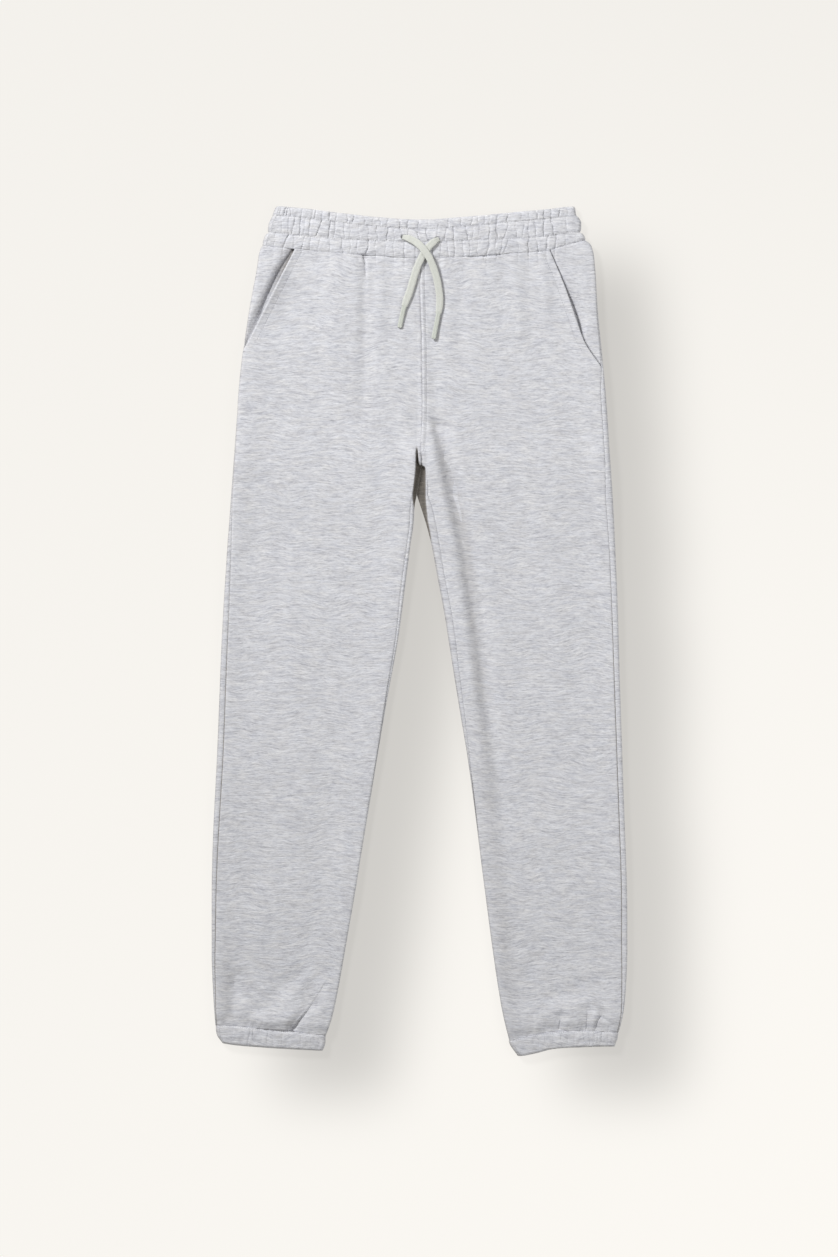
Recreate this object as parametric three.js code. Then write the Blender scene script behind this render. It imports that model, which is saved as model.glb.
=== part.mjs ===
// Jogger sweatpants laid flat on their back, front up, in millimetres.
// +Z is up, +Y points to the waist and +X to the wearer's left. The origin is on the
// floor under the middle of the outline. Each panel is a wall of cloth that follows one
// closed line round its leg: the layer on the floor, a rolled edge on each side, and the
// layer on top. "down" is the distance below the highest point of the waistband.
import * as THREE from "three";

// Driving sizes
const LENGTH = 1000; // waistband corner to the lowest point of the cuffs
const CLOTH = 2; // one layer of loopback jersey
const BAND_WALL = 4.2; // elastic between two layers of the same jersey
const SEAM_GAP = 0.3; // between two pieces that are sewn together
const ROLLED_GAP = 0.52; // the same on a rolled edge, measured round its outside
const FLOOR_EASE = 0.55; // more room at the waist seam where its straight steps lie below
const CROTCH = 301; // down, where the four panels meet
const SPLIT = 340; // down, where the two legs part on the floor
const UNDERLAP = 14; // how far the hip piece reaches under the front at the pocket
const POCKET_STEP = 0.8; // space between the front and the hip piece behind it
const SAG_REACH = 24; // from a rolled edge to where the top layer has sunk
const LEAST_STACK = 2 * CLOTH + 0.7; // lowest top of the two layers
const CORD = { width: 8.5, thick: 2.4, tipWidth: 5.4, tipThick: 2.5, tipStart: 0.78 };

// The seam in the middle of the body, front and back
const CENTRE = [
  { down: 60, x: 0 },
  { down: 100, x: 0.8 },
  { down: 170, x: 2.8 },
  { down: 240, x: 3.2 },
  { down: 285, x: 1.8 },
  { down: 301, x: 2.2 },
  { down: 325, x: -0.8 },
  { down: 340, x: -3.2 },
];

// Lines sewn round the waistband: its folded top, two rows of stitching, and the body seam
const WAIST_LINES = [
  { x: -186, top: 0, first: 11, second: 31, seam: 47.4 },
  { x: -164, top: 0.4, first: 12, second: 32.5, seam: 49.4 },
  { x: -135, top: 3, first: 14.5, second: 36, seam: 52.2 },
  { x: -95, top: 8, first: 19.5, second: 39, seam: 56 },
  { x: -45, top: 13.4, first: 24.8, second: 41.4, seam: 59.5 },
  { x: 0, top: 16, first: 27.5, second: 42.6, seam: 62 },
  { x: 55, top: 12.6, first: 24.2, second: 41, seam: 60 },
  { x: 110, top: 7.5, first: 19, second: 38.6, seam: 56 },
  { x: 150, top: 3.8, first: 15.5, second: 36, seam: 53 },
  { x: 175, top: 1, first: 12.5, second: 32, seam: 46 },
  { x: 195, top: 0.4, first: 11, second: 31, seam: 41 },
];

// Height of the rolled edges and of the top layer between them
const HEIGHTS = [
  { down: 40, rim: 9.6, middle: 9.6 },
  { down: 62, rim: 11.2, middle: 9.6 },
  { down: 100, rim: 12, middle: 9.6 },
  { down: 190, rim: 12, middle: 9.2 },
  { down: 260, rim: 12.6, middle: 8.6 },
  { down: 301, rim: 14, middle: 9 },
  { down: 340, rim: 13, middle: 8.6 },
  { down: 420, rim: 10.6, middle: 7.2 },
  { down: 700, rim: 9.6, middle: 6.6 },
  { down: 900, rim: 9.4, middle: 6.8 },
  { down: 1000, rim: 9.4, middle: 9 },
];

// The jersey puffs up above each cuff
const BLOUSE = { rise: 2.2, peak: 13, fade: 55 };

// Each leg: outer and inner edge of its outline, and how far in from them the seams show
const RIGHT = {
  name: "right",
  toInner: 1,
  outline: [
    { down: 46.5, outer: -184.8, outseam: 0 },
    { down: 52, outer: -187.6, outseam: 0 },
    { down: 75, outer: -191.6, outseam: 0 },
    { down: 123, outer: -200.6, outseam: 0 },
    { down: 198, outer: -211, outseam: 0 },
    { down: 280, outer: -217, outseam: 0.6 },
    { down: 350, outer: -222.2, outseam: 2.6 },
    { down: 412, outer: -226.8, outseam: 5 },
    { down: 510, outer: -232.6, outseam: 6.8 },
    { down: 645, outer: -238.2, outseam: 7 },
    { down: 755, outer: -243.4, outseam: 6 },
    { down: 810, outer: -244.5, outseam: 5 },
    { down: 880, outer: -244.5, outseam: 3.8 },
    { down: 934, outer: -242.2, outseam: 2.4 },
    { down: 978, outer: -239, outseam: 1 },
  ],
  inside: [
    { down: 352, inner: -5.6, inseam: 4.6 },
    { down: 374, inner: -7, inseam: 4.6 },
    { down: 400, inner: -10.8, inseam: 4 },
    { down: 440, inner: -16, inseam: 4.4 },
    { down: 510, inner: -25.2, inseam: 3 },
    { down: 581, inner: -38.2, inseam: 1.6 },
    { down: 651, inner: -50, inseam: 0.6 },
    { down: 722, inner: -61.7, inseam: 0 },
    { down: 863, inner: -85.2, inseam: 0 },
    { down: 934, inner: -98, inseam: 0 },
    { down: 957, inner: -103.4, inseam: 0 },
    { down: 980, inner: -111.4, inseam: 0 },
  ],
  slant: [
    { down: 40, x: -141 },
    { down: 104, x: -173.2 },
    { down: 177, x: -210 },
    { down: 240, x: -242 },
  ],
  slantEnd: 177,
  gape: { rise: 2.4, sink: 1.2, width: 16 },
  cuff: [
    { x: -240, seam: 963.6, hem: 983 },
    { x: -222, seam: 964, hem: 986.6 },
    { x: -190, seam: 967.4, hem: 989.6 },
    { x: -152, seam: 971, hem: 992 },
    { x: -110, seam: 975, hem: 994 },
  ],
  cuffSides: { seamOuter: -239.6, seamInner: -110.6, hemOuter: -233.5, hemInner: -114 },
};
const LEFT = {
  name: "left",
  toInner: -1,
  outline: [
    { down: 40.5, outer: 194.6, outseam: 0 },
    { down: 44, outer: 199.6, outseam: 0 },
    { down: 51, outer: 203.2, outseam: 0 },
    { down: 75, outer: 206.6, outseam: 0 },
    { down: 123, outer: 209.6, outseam: 1 },
    { down: 190, outer: 216.2, outseam: 2.4 },
    { down: 228, outer: 219.6, outseam: 6.4 },
    { down: 293, outer: 223.8, outseam: 6.4 },
    { down: 351, outer: 227.6, outseam: 8.6 },
    { down: 394, outer: 229.8, outseam: 7.2 },
    { down: 463, outer: 232.8, outseam: 7 },
    { down: 581, outer: 236.4, outseam: 6.4 },
    { down: 722, outer: 241.2, outseam: 6.2 },
    { down: 810, outer: 244.2, outseam: 6.4 },
    { down: 870, outer: 244.5, outseam: 6.6 },
    { down: 914, outer: 243.2, outseam: 5 },
    { down: 948, outer: 240, outseam: 2.8 },
    { down: 974, outer: 233.8, outseam: 1.4 },
  ],
  inside: [
    { down: 352, inner: 0.8, inseam: 13 },
    { down: 374, inner: 7.8, inseam: 11.4 },
    { down: 399, inner: 14.1, inseam: 9.4 },
    { down: 440, inner: 21.7, inseam: 8.6 },
    { down: 475, inner: 28.4, inseam: 8.8 },
    { down: 546, inner: 39.6, inseam: 7 },
    { down: 600, inner: 48.4, inseam: 5 },
    { down: 651, inner: 56.8, inseam: 2.4 },
    { down: 722, inner: 66.4, inseam: 0.6 },
    { down: 792, inner: 75, inseam: 0 },
    { down: 934, inner: 94.8, inseam: 0 },
    { down: 957, inner: 99.3, inseam: 0 },
    { down: 984, inner: 106, inseam: 0 },
  ],
  slant: [
    { down: 40, x: 147.5 },
    { down: 88, x: 168 },
    { down: 136, x: 185 },
    { down: 162, x: 194.6 },
    { down: 189, x: 213 },
    { down: 240, x: 248 },
  ],
  slantEnd: 189,
  gape: { rise: 0.4, sink: 0.2, width: 12 },
  cuff: [
    { x: 104, seam: 982, hem: 997 },
    { x: 118, seam: 979, hem: 1000 },
    { x: 136, seam: 975, hem: 997 },
    { x: 156, seam: 971.6, hem: 992 },
    { x: 190, seam: 970.4, hem: 989.8 },
    { x: 232, seam: 971.6, hem: 988.6 },
  ],
  cuffSides: { seamOuter: 233.9, seamInner: 105.2, hemOuter: 230, hemInner: 115 },
};

// Soft ridges and troughs of the top layer, along straight stretches
const FOLDS = [
  { x: 12, down: 110, toX: 22, toDown: 262, width: 9, rise: -1.6 }, // beside the fly seam
  { x: 24, down: 262, toX: 52, toDown: 400, width: 10, rise: -2 }, // down the left thigh
  { x: 52, down: 400, toX: 84, toDown: 610, width: 11, rise: -1.8 },
  { x: 84, down: 610, toX: 112, toDown: 870, width: 11, rise: -1.3 },
  { x: 8, down: 238, toX: 28, toDown: 330, width: 6, rise: 1.1 }, // ridge down the left thigh
  { x: 28, down: 330, toX: 44, toDown: 400, width: 6.5, rise: 1.3 },
  { x: 44, down: 400, toX: 60, toDown: 500, width: 7, rise: 1.3 },
  { x: 60, down: 500, toX: 88, toDown: 734, width: 8, rise: 1 },
  { x: -62, down: 58, toX: -66, toDown: 250, width: 8, rise: -1.6 }, // tuck in the right front
  { x: -84, down: 70, toX: -86, toDown: 200, width: 16, rise: 1.3 },
  { x: 48, down: 80, toX: 52, toDown: 230, width: 9, rise: -0.9 },
  { x: 128, down: 62, toX: 132, toDown: 170, width: 8, rise: -0.9 },
  { x: -212, down: 900, toX: -222, toDown: 950, width: 13, rise: -1.6 }, // right shin
  { x: -204, down: 830, toX: -196, toDown: 880, width: 18, rise: 1.2 },
  { x: -152, down: 968, toX: -128, toDown: 936, width: 7, rise: -2.2 }, // over the right cuff
  { x: -176, down: 962, toX: -158, toDown: 944, width: 12, rise: 1.8 },
  { x: 164, down: 968, toX: 166, toDown: 952, width: 5, rise: -1.4 }, // over the left cuff
  { x: 197, down: 968, toX: 198, toDown: 946, width: 5, rise: -1.6 },
  { x: 209, down: 966, toX: 214, toDown: 948, width: 5, rise: -1.6 },
];

// Spacing of the rows down a leg, measured at its inner edge
const ROW_BANDS = [
  { to: 80, step: 9 },
  { to: 128, step: 23 },
  { to: 200, step: 12.5 },
  { to: 265, step: 22 },
  { to: CROTCH, step: 12 },
  { to: 352, step: 13 },
  { to: 400, step: 24 },
  { to: 900, step: 50 },
  { to: 955, step: 18 },
  { to: LENGTH, step: 10 },
];

// The waistband from its folded top to the body seam
const WAIST_ROWS = [
  { from: "top", to: "first", part: 0, height: 7, gather: 0.4, left: -168, right: 182 },
  { from: "top", to: "first", part: 0.2, height: 9.8, gather: 0.9, left: -169.6, right: 183 },
  { from: "top", to: "first", part: 0.65, height: 10.6, gather: 1, left: -171.6, right: 184 },
  { from: "first", to: "second", part: 0, height: 9.4, gather: 0.35, left: -173, right: 185 },
  { from: "first", to: "second", part: 0.45, height: 11.2, gather: 1, left: -177.4, right: 190 },
  { from: "second", to: "seam", part: 0, height: 9.2, gather: 0.35, left: -177.6, right: 188.6 },
  { from: "second", to: "seam", part: 0.5, height: 11, gather: 1, left: -183.4, right: 193.8 },
  { from: "second", to: "seam", part: 1, height: 9.6, gather: 0.2, left: -184.6, right: 194.8 },
];
// A cuff from its seam to its folded hem
const CUFF_ROWS = [
  { from: "seam", to: "hem", part: 0, height: 9.4, gather: 0.2 },
  { from: "seam", to: "hem", part: 0.3, height: 10.6, gather: 0.9 },
  { from: "seam", to: "hem", part: 0.75, height: 10.4, gather: 1 },
  { from: "seam", to: "hem", part: 1, height: 7, gather: 0.4 },
];
const WAIST_GATHERS = { front: 30, back: 24, depth: 1.2, wander: 0.006 };
const CUFF_GATHERS = { front: 9, back: 9, depth: 0.9, wander: 0.02 };
const PER_GATHER = [-1, 0.35, 0.6, 0.35]; // height at the crease, flank, crest and flank
const SIDE_TURNS = 6; // facets round each side of a band

// Free ends of the drawcord, from its buttonholes to the ends of its tips
const CORD_ROUTES = {
  right: [
    { x: -20, down: 37.2, z: 12.9 },
    { x: -13, down: 39, z: 13.3 },
    { x: -6, down: 42.6, z: 14.3 },
    { x: 0.5, down: 47.6, z: 15.6 },
    { x: 6, down: 54, z: 16.2 },
    { x: 11.6, down: 62.4, z: 15.8 },
    { x: 16.2, down: 73.4, z: 14.8 },
    { x: 19.8, down: 84.8, z: 13.9 },
    { x: 22.2, down: 96, z: 13.2 },
    { x: 23.6, down: 107.2, z: 12.7 },
    { x: 23.6, down: 116.6, z: 12.3 },
    { x: 22.4, down: 126, z: 12 },
    { x: 20.6, down: 135.6, z: 11.7 },
    { x: 18.6, down: 146, z: 11.4 },
    { x: 16.4, down: 157, z: 11.1 },
  ],
  left: [
    { x: 23, down: 39.6, z: 12.8 },
    { x: 18.6, down: 42, z: 13 },
    { x: 14, down: 45.8, z: 13.2 },
    { x: 10, down: 50.2, z: 13.2 },
    { x: 4.8, down: 57.6, z: 13 },
    { x: 0.2, down: 66, z: 12.6 },
    { x: -3.4, down: 74.6, z: 12.2 },
    { x: -6.4, down: 83.8, z: 11.9 },
    { x: -9.4, down: 94, z: 11.8 },
    { x: -13, down: 105.4, z: 11.7 },
    { x: -16.6, down: 114.6, z: 11.6 },
    { x: -19.2, down: 124, z: 11.4 },
    { x: -21.4, down: 133.6, z: 11.2 },
    { x: -23.6, down: 143.8, z: 11 },
  ],
};

const JERSEY = { color: 0xd4d5da, roughness: 0.95, metalness: 0 };
const BRAID = { color: 0xd3d6cc, roughness: 0.85, metalness: 0 };
const SEALED = { color: 0xd0d4c9, roughness: 0.6, metalness: 0 };

const mix = (a, b, t) => a + (b - a) * t;
const clamp = (value, low, high) => Math.min(high, Math.max(low, value));
const ease = (from, to, value) => {
  const t = clamp((value - from) / (to - from), 0, 1);
  return t * t * (3 - 2 * t);
};

// A column of a table at any place between its rows, on a smooth curve with no overshoot
function read(table, key, column, at) {
  const last = table.length - 1;
  if (at <= table[0][key]) return table[0][column];
  if (at >= table[last][key]) return table[last][column];
  let i = 0;
  while (table[i + 1][key] < at) i++;
  const secant = (j) => {
    const k = clamp(j, 0, last - 1);
    return (table[k + 1][column] - table[k][column]) / (table[k + 1][key] - table[k][key]);
  };
  const slope = (j) => {
    const a = secant(j - 1);
    const b = secant(j);
    if (a * b <= 0) return 0;
    return Math.sign(a) * Math.min(Math.abs(a + b) / 2, 3 * Math.abs(a), 3 * Math.abs(b));
  };
  const step = table[i + 1][key] - table[i][key];
  const t = (at - table[i][key]) / step;
  const rest = 1 - t;
  return (
    (1 + 2 * t) * rest * rest * table[i][column] +
    t * rest * rest * step * slope(i) +
    t * t * (3 - 2 * t) * table[i + 1][column] -
    t * t * rest * step * slope(i + 1)
  );
}

// Rise of the top layer from the folds near a place
function relief(x, down) {
  let total = 0;
  for (const fold of FOLDS) {
    const run = [fold.toX - fold.x, fold.toDown - fold.down];
    const off = [x - fold.x, down - fold.down];
    const squared = run[0] ** 2 + run[1] ** 2;
    const t = clamp((run[0] * off[0] + run[1] * off[1]) / squared, 0, 1);
    const far = Math.hypot(off[0] - t * run[0], off[1] - t * run[1]);
    total += fold.rise * Math.exp(-((far / fold.width) ** 2));
  }
  return total;
}

// Outline of one leg at a place down it: width, edge radius and where its seams lie
function sizesAt(leg, down, toCuff) {
  const outer = read(leg.outline, "down", "outer", down);
  const middleLine = read(CENTRE, "down", "x", down) - (leg.toInner * SEAM_GAP) / 2;
  const inside = [
    { down: CROTCH, inseam: 0 },
    { down: SPLIT, inner: read(CENTRE, "down", "x", SPLIT) - (leg.toInner * SEAM_GAP) / 2,
      inseam: leg.inside[0].inseam },
    ...leg.inside,
  ];
  const inner = down <= SPLIT ? middleLine : read(inside.slice(1), "down", "inner", down);
  const blouse =
    BLOUSE.rise * ease(0, BLOUSE.peak, toCuff) * (1 - ease(BLOUSE.peak, BLOUSE.fade, toCuff));
  return {
    outer,
    width: Math.abs(inner - outer),
    rim: read(HEIGHTS, "down", "rim", down) + blouse,
    middle: read(HEIGHTS, "down", "middle", down) + blouse,
    outseam: read(leg.outline, "down", "outseam", down),
    slant: (read(leg.slant, "down", "x", down) - outer) * leg.toInner,
    inseam: down <= CROTCH ? 0 : read(inside, "down", "inseam", down),
    // How far the two layers have turned towards each other at the middle seam
    frontTurn: (ease(CROTCH - 46, CROTCH, down) * Math.PI) / 2,
    backTurn: (ease(CROTCH - 40, CROTCH, down) * Math.PI) / 2,
    rolledInside: ease(CROTCH - 50, CROTCH, down),
    joined: down < CROTCH,
  };
}

// The line round one leg at one place. Each stretch gives a place across from the outer
// edge, a side (1 on top, -1 on the floor) and a height share of that side.
function stretchesOf(sizes, panel, overlap) {
  const r = sizes.rim / 2;
  const { width, outseam, slant, inseam, joined } = sizes;
  const outerArc = (from, to) => ({
    length: r * Math.abs(to - from),
    at: (t) => {
      const a = mix(from, to, t);
      return { across: r * (1 - Math.cos(a)), up: Math.sin(a) };
    },
  });
  const innerArc = (centre, from, to) => ({
    length: r * Math.abs(to - from),
    at: (t) => {
      const a = mix(from, to, t);
      return { across: centre + r * Math.cos(a), up: Math.sin(a) };
    },
  });
  const flat = (from, to, up) => ({
    length: Math.abs(to - from),
    at: (t) => ({ across: mix(from, to, t), up }),
  });
  const quarter = Math.PI / 2;
  const startAngle = (distance) => Math.acos(clamp(1 - distance / r, 0, 1));
  if (panel === "back") {
    const list = outseam > r ? [flat(outseam, r, 1)] : [];
    list.push(outerArc(startAngle(outseam), -quarter));
    if (joined) {
      const centre = width - r * Math.sin(sizes.backTurn);
      list.push(flat(r, centre, -1), innerArc(centre, -quarter, sizes.backTurn - quarter));
    } else {
      list.push(flat(r, width - r, -1), innerArc(width - r, -quarter, startAngle(inseam)));
      if (inseam > r) list.push(flat(width - r, width - inseam, 1));
    }
    return list;
  }
  const begin = panel === "front" ? Math.max(outseam, slant) : outseam;
  const list = begin < r ? [outerArc(startAngle(begin), quarter)] : [];
  const flatFrom = Math.max(begin, r);
  if (panel === "hip") {
    list.push(flat(flatFrom, Math.max(slant, 0) + overlap, 1));
  } else if (joined) {
    const centre = width - r * Math.sin(sizes.frontTurn);
    list.push(flat(flatFrom, centre, 1), innerArc(centre, quarter, quarter - sizes.frontTurn));
  } else {
    list.push(flat(flatFrom, width - Math.max(r, inseam), 1));
    if (inseam < r) list.push(innerArc(width - r, quarter, startAngle(inseam)));
  }
  return list;
}

// A point of the line round a leg, and the way out of the cloth there
function crossing(leg, down, toCuff, panel) {
  const sizes = sizesAt(leg, down, toCuff);
  const list = stretchesOf(sizes, panel, UNDERLAP);
  const total = list.reduce((sum, stretch) => sum + stretch.length, 0);
  const r = sizes.rim / 2;
  const sunk = (distance) => 1 - Math.exp(-((Math.max(distance, 0) / SAG_REACH) ** 2));
  const point = (s) => {
    let rest = clamp(s, 0, total);
    let k = 0;
    while (k < list.length - 1 && rest > list[k].length) rest -= list[k++].length;
    const { across, up } = list[k].at(list[k].length > 0 ? rest / list[k].length : 0);
    const x = sizes.outer + leg.toInner * across;
    if (up <= 0) return { across, x, z: r + r * up };
    const fromInner = mix(1, sunk(sizes.width - r - across), sizes.rolledInside);
    const edge = ease(0, 9, across) * mix(1, ease(0, 9, sizes.width - across), sizes.rolledInside);
    let drop = (sizes.rim - sizes.middle) * sunk(across - r) * fromInner;
    drop -= relief(x, down) * edge;
    if (panel === "front") drop -= gapeAt(leg, sizes, across, down).rise;
    drop = Math.min(drop, 2 * r - LEAST_STACK);
    return { across, x, z: r + (r - drop) * up };
  };
  const at = (s) => {
    const here = point(s);
    const before = point(s - 0.4);
    const after = point(s + 0.4);
    const way = panel === "back" ? -leg.toInner : leg.toInner;
    const along = [after.x - before.x, after.z - before.z];
    const long = Math.hypot(...along) || 1;
    return { ...here, out: [(-along[1] / long) * way, (along[0] / long) * way] };
  };
  return { total, at, sizes };
}

// The open mouth of a slanted pocket: the front stands off and the hip piece sinks
function gapeAt(leg, sizes, across, down) {
  const open = ease(56, 84, down) * (1 - ease(104, leg.slantEnd - 30, down));
  const near = Math.exp(-(((across - sizes.slant) / leg.gape.width) ** 2));
  return { rise: leg.gape.rise * open * near, sink: leg.gape.sink * open * near };
}

// Top and bottom seam of a leg, by the share of the way from its outer to its inner edge
function seamsOf(leg, share) {
  let top = 45;
  let bottom = 970;
  for (let pass = 0; pass < 5; pass++) {
    const topX = mix(read(leg.outline, "down", "outer", top), 0, share);
    const outer = read(leg.outline, "down", "outer", bottom);
    const bottomX = mix(outer, read(leg.inside, "down", "inner", bottom), share);
    top = read(WAIST_LINES, "x", "seam", topX) + SEAM_GAP / 2;
    bottom = read(leg.cuff, "x", "seam", bottomX) - SEAM_GAP / 2;
  }
  return { top, bottom };
}

// Shares of the way down a leg at which its panels have rows
function rowsOf(leg) {
  const { top, bottom } = seamsOf(leg, 1);
  const rows = [top];
  for (const band of ROW_BANDS) {
    const from = rows[rows.length - 1];
    const to = Math.min(band.to, bottom);
    const count = Math.round((to - from) / band.step);
    for (let i = 1; i <= count; i++) rows.push(mix(from, to, i / count));
  }
  rows[rows.length - 1] = bottom;
  return rows.map((down) => (down - top) / (bottom - top));
}

// Places along a line of a given length: close together at the ends, even in between
function places(length, close, ends, middle) {
  const edge = Math.min(ends, length / 3);
  const list = [];
  for (let i = 0; i < close; i++) list.push((edge * i) / close);
  for (let i = 0; i <= middle; i++) list.push(mix(edge, length - edge, i / middle));
  for (let i = close - 1; i >= 0; i--) list.push(length - (edge * i) / close);
  return list;
}

// Outer and inner points of one leg panel, row by row
function panelGrid(leg, panel, rows, layout) {
  const outside = [];
  const inside = [];
  for (const v of rows) {
    const outRow = [];
    const inRow = [];
    const count = places(100, layout.close, layout.ends, layout.middle).length;
    for (let j = 0; j < count; j++) {
      let share = panel === "back" ? j / (count - 1) : 0.5;
      let placed;
      let down;
      for (let pass = 0; pass < 3; pass++) {
        const seams = seamsOf(leg, share);
        down = mix(seams.top, seams.bottom, v);
        const line = crossing(leg, down, seams.bottom - down, panel);
        const open = panel === "front" && line.sizes.slant > line.sizes.outseam + 0.5;
        const start = open ? 0 : ROLLED_GAP / 2;
        const stop = panel === "hip" || line.sizes.joined ? 0 : ROLLED_GAP / 2;
        const s = places(line.total - start - stop, layout.close, layout.ends, layout.middle)[j];
        placed = line.at(start + s);
        placed.sizes = line.sizes;
        share = clamp(placed.across / line.sizes.width, 0, 1);
      }
      const depth = panel === "hip" ? hipDepth(leg, placed, down) : 0;
      const y = LENGTH / 2 - down;
      const [nx, nz] = placed.out;
      outRow.push([placed.x - nx * depth, y, placed.z - nz * depth]);
      inRow.push([placed.x - nx * (depth + CLOTH), y, placed.z - nz * (depth + CLOTH)]);
    }
    outside.push(outRow);
    inside.push(inRow);
  }
  return { outside, inside };
}

// The hip piece is level with the side seam and dips under the front at the slant
function hipDepth(leg, placed, down) {
  const { slant } = placed.sizes;
  const under = ease(slant - 24, slant - 3, placed.across);
  return (CLOTH + POCKET_STEP) * under + gapeAt(leg, placed.sizes, placed.across, down).sink;
}

// A closed wall between an outer and an inner grid of points
function wall({ outside, inside }, flip) {
  const rows = outside.length;
  const columns = outside[0].length;
  const position = new Float32Array([outside, inside].flat(3));
  const index = [];
  const id = (layer, i, j) => (layer * rows + i) * columns + j;
  const quad = (a, b, c, d) => {
    if (flip) index.push(a, c, b, a, d, c);
    else index.push(a, b, c, a, c, d);
  };
  for (let i = 0; i < rows - 1; i++)
    for (let j = 0; j < columns - 1; j++) {
      quad(id(0, i, j), id(0, i + 1, j), id(0, i + 1, j + 1), id(0, i, j + 1));
      quad(id(1, i, j), id(1, i, j + 1), id(1, i + 1, j + 1), id(1, i + 1, j));
    }
  for (let i = 0; i < rows - 1; i++)
    for (const [j, a, b] of [[0, 1, 0], [columns - 1, 0, 1]])
      quad(id(a, i, j), id(a, i + 1, j), id(b, i + 1, j), id(b, i, j));
  for (let j = 0; j < columns - 1; j++)
    for (const [i, a, b] of [[0, 0, 1], [rows - 1, 1, 0]])
      quad(id(a, i, j), id(a, i, j + 1), id(b, i, j + 1), id(b, i, j));
  return geometryOf(position, index);
}

function geometryOf(position, index) {
  const geometry = new THREE.BufferGeometry();
  geometry.setAttribute("position", new THREE.BufferAttribute(position, 3));
  geometry.setIndex(index);
  geometry.computeVertexNormals();
  return geometry;
}

// One gathered loop of a band: places round it, from the outer side over the top and back
function bandLoop(row, gathers, rowNumber) {
  const r = row.height / 2;
  const { left, right } = row;
  const loop = [];
  const wander = (t, k) =>
    gathers.wander * Math.sin(Math.PI * t) * Math.sin(9 * t + 2.4 * rowNumber + k);
  const layer = (count, up, from, to) => {
    const steps = count * PER_GATHER.length;
    for (let j = 0; j <= steps; j++) {
      const t = j / steps;
      const swell = PER_GATHER[j % PER_GATHER.length] * gathers.depth * row.gather;
      loop.push({ x: mix(from, to, t + wander(t, up)), up, swell });
    }
  };
  const side = (centre, towards, from) => {
    for (let j = 1; j < SIDE_TURNS; j++) {
      const a = from + (Math.PI * j) / SIDE_TURNS;
      loop.push({ x: centre + towards * r * Math.abs(Math.sin(a)), up: Math.cos(a), swell: 0,
        turn: Math.abs(Math.sin(a)), towards });
    }
  };
  layer(gathers.front, 1, left + r, right - r);
  side(right - r, 1, 0);
  layer(gathers.back, -1, right - r, left + r);
  side(left + r, -1, Math.PI);
  return loop;
}

// A gathered elastic band: the waistband or a cuff, as one closed ring
function band(lines, rows, gathers, gap) {
  const loops = rows.map((row, i) => bandLoop(row, gathers, i));
  const columns = loops[0].length;
  const downOf = (row, x, up) => {
    const from = read(lines, "x", row.from, x);
    const gap = row.gap ? row.gap + Math.sign(row.gap) * FLOOR_EASE * Math.max(0, -up) : 0;
    return mix(from, read(lines, "x", row.to, x), row.part) + gap;
  };
  const outside = rows.map((row, i) =>
    loops[i].map(({ x, up, swell }) => {
      const r = row.height / 2;
      const top = r + r * up + (up > 0 ? swell : -swell);
      return [x, LENGTH / 2 - downOf(row, x, up), Math.max(0, top)];
    }),
  );
  const inside = [0, rows.length - 1].map((i) => {
    const row = rows[i];
    const r = row.height / 2;
    const hollow = Math.max(0.45, r - BAND_WALL);
    return loops[i].map(({ x, up, turn, towards }) => {
      const pulled = turn ? x - towards * (r - hollow) * turn : x;
      return [pulled, LENGTH / 2 - downOf(row, x, up), r + hollow * up];
    });
  });
  const points = [...outside, ...inside];
  const position = new Float32Array(points.flat(2));
  const index = [];
  const id = (row, j) => row * columns + (j % columns);
  const strip = (a, b) => {
    for (let j = 0; j < columns; j++) {
      index.push(id(a, j), id(b, j), id(b, j + 1), id(a, j), id(b, j + 1), id(a, j + 1));
    }
  };
  const last = rows.length - 1;
  for (let i = 0; i < last; i++) strip(i, i + 1);
  strip(last, last + 2); // the edge at the last row
  strip(last + 2, last + 1); // the inside
  strip(last + 1, 0); // the edge at the first row
  return geometryOf(position, index);
}

// A stretch of flat cord along its route, with a step at every other point or closer
function cordGeometry(route, from, to, width, thick, steps) {
  const curve = new THREE.CatmullRomCurve3(
    route.map((p) => new THREE.Vector3(p.x, LENGTH / 2 - p.down, p.z)),
  );
  const points = [];
  for (let i = 0; i <= steps; i++) points.push(curve.getPointAt(mix(from, to, i / steps)));
  const outline = new THREE.Shape();
  outline.absellipse(0, 0, thick / 2, width / 2, 0, 2 * Math.PI);
  return new THREE.ExtrudeGeometry(outline, {
    extrudePath: new THREE.CatmullRomCurve3(points),
    steps,
    curveSegments: 5,
    bevelEnabled: false,
  });
}

const pants = new THREE.Group();
function add(name, geometry, look) {
  const mesh = new THREE.Mesh(geometry, new THREE.MeshStandardMaterial(look));
  mesh.name = name;
  pants.add(mesh);
}

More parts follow.
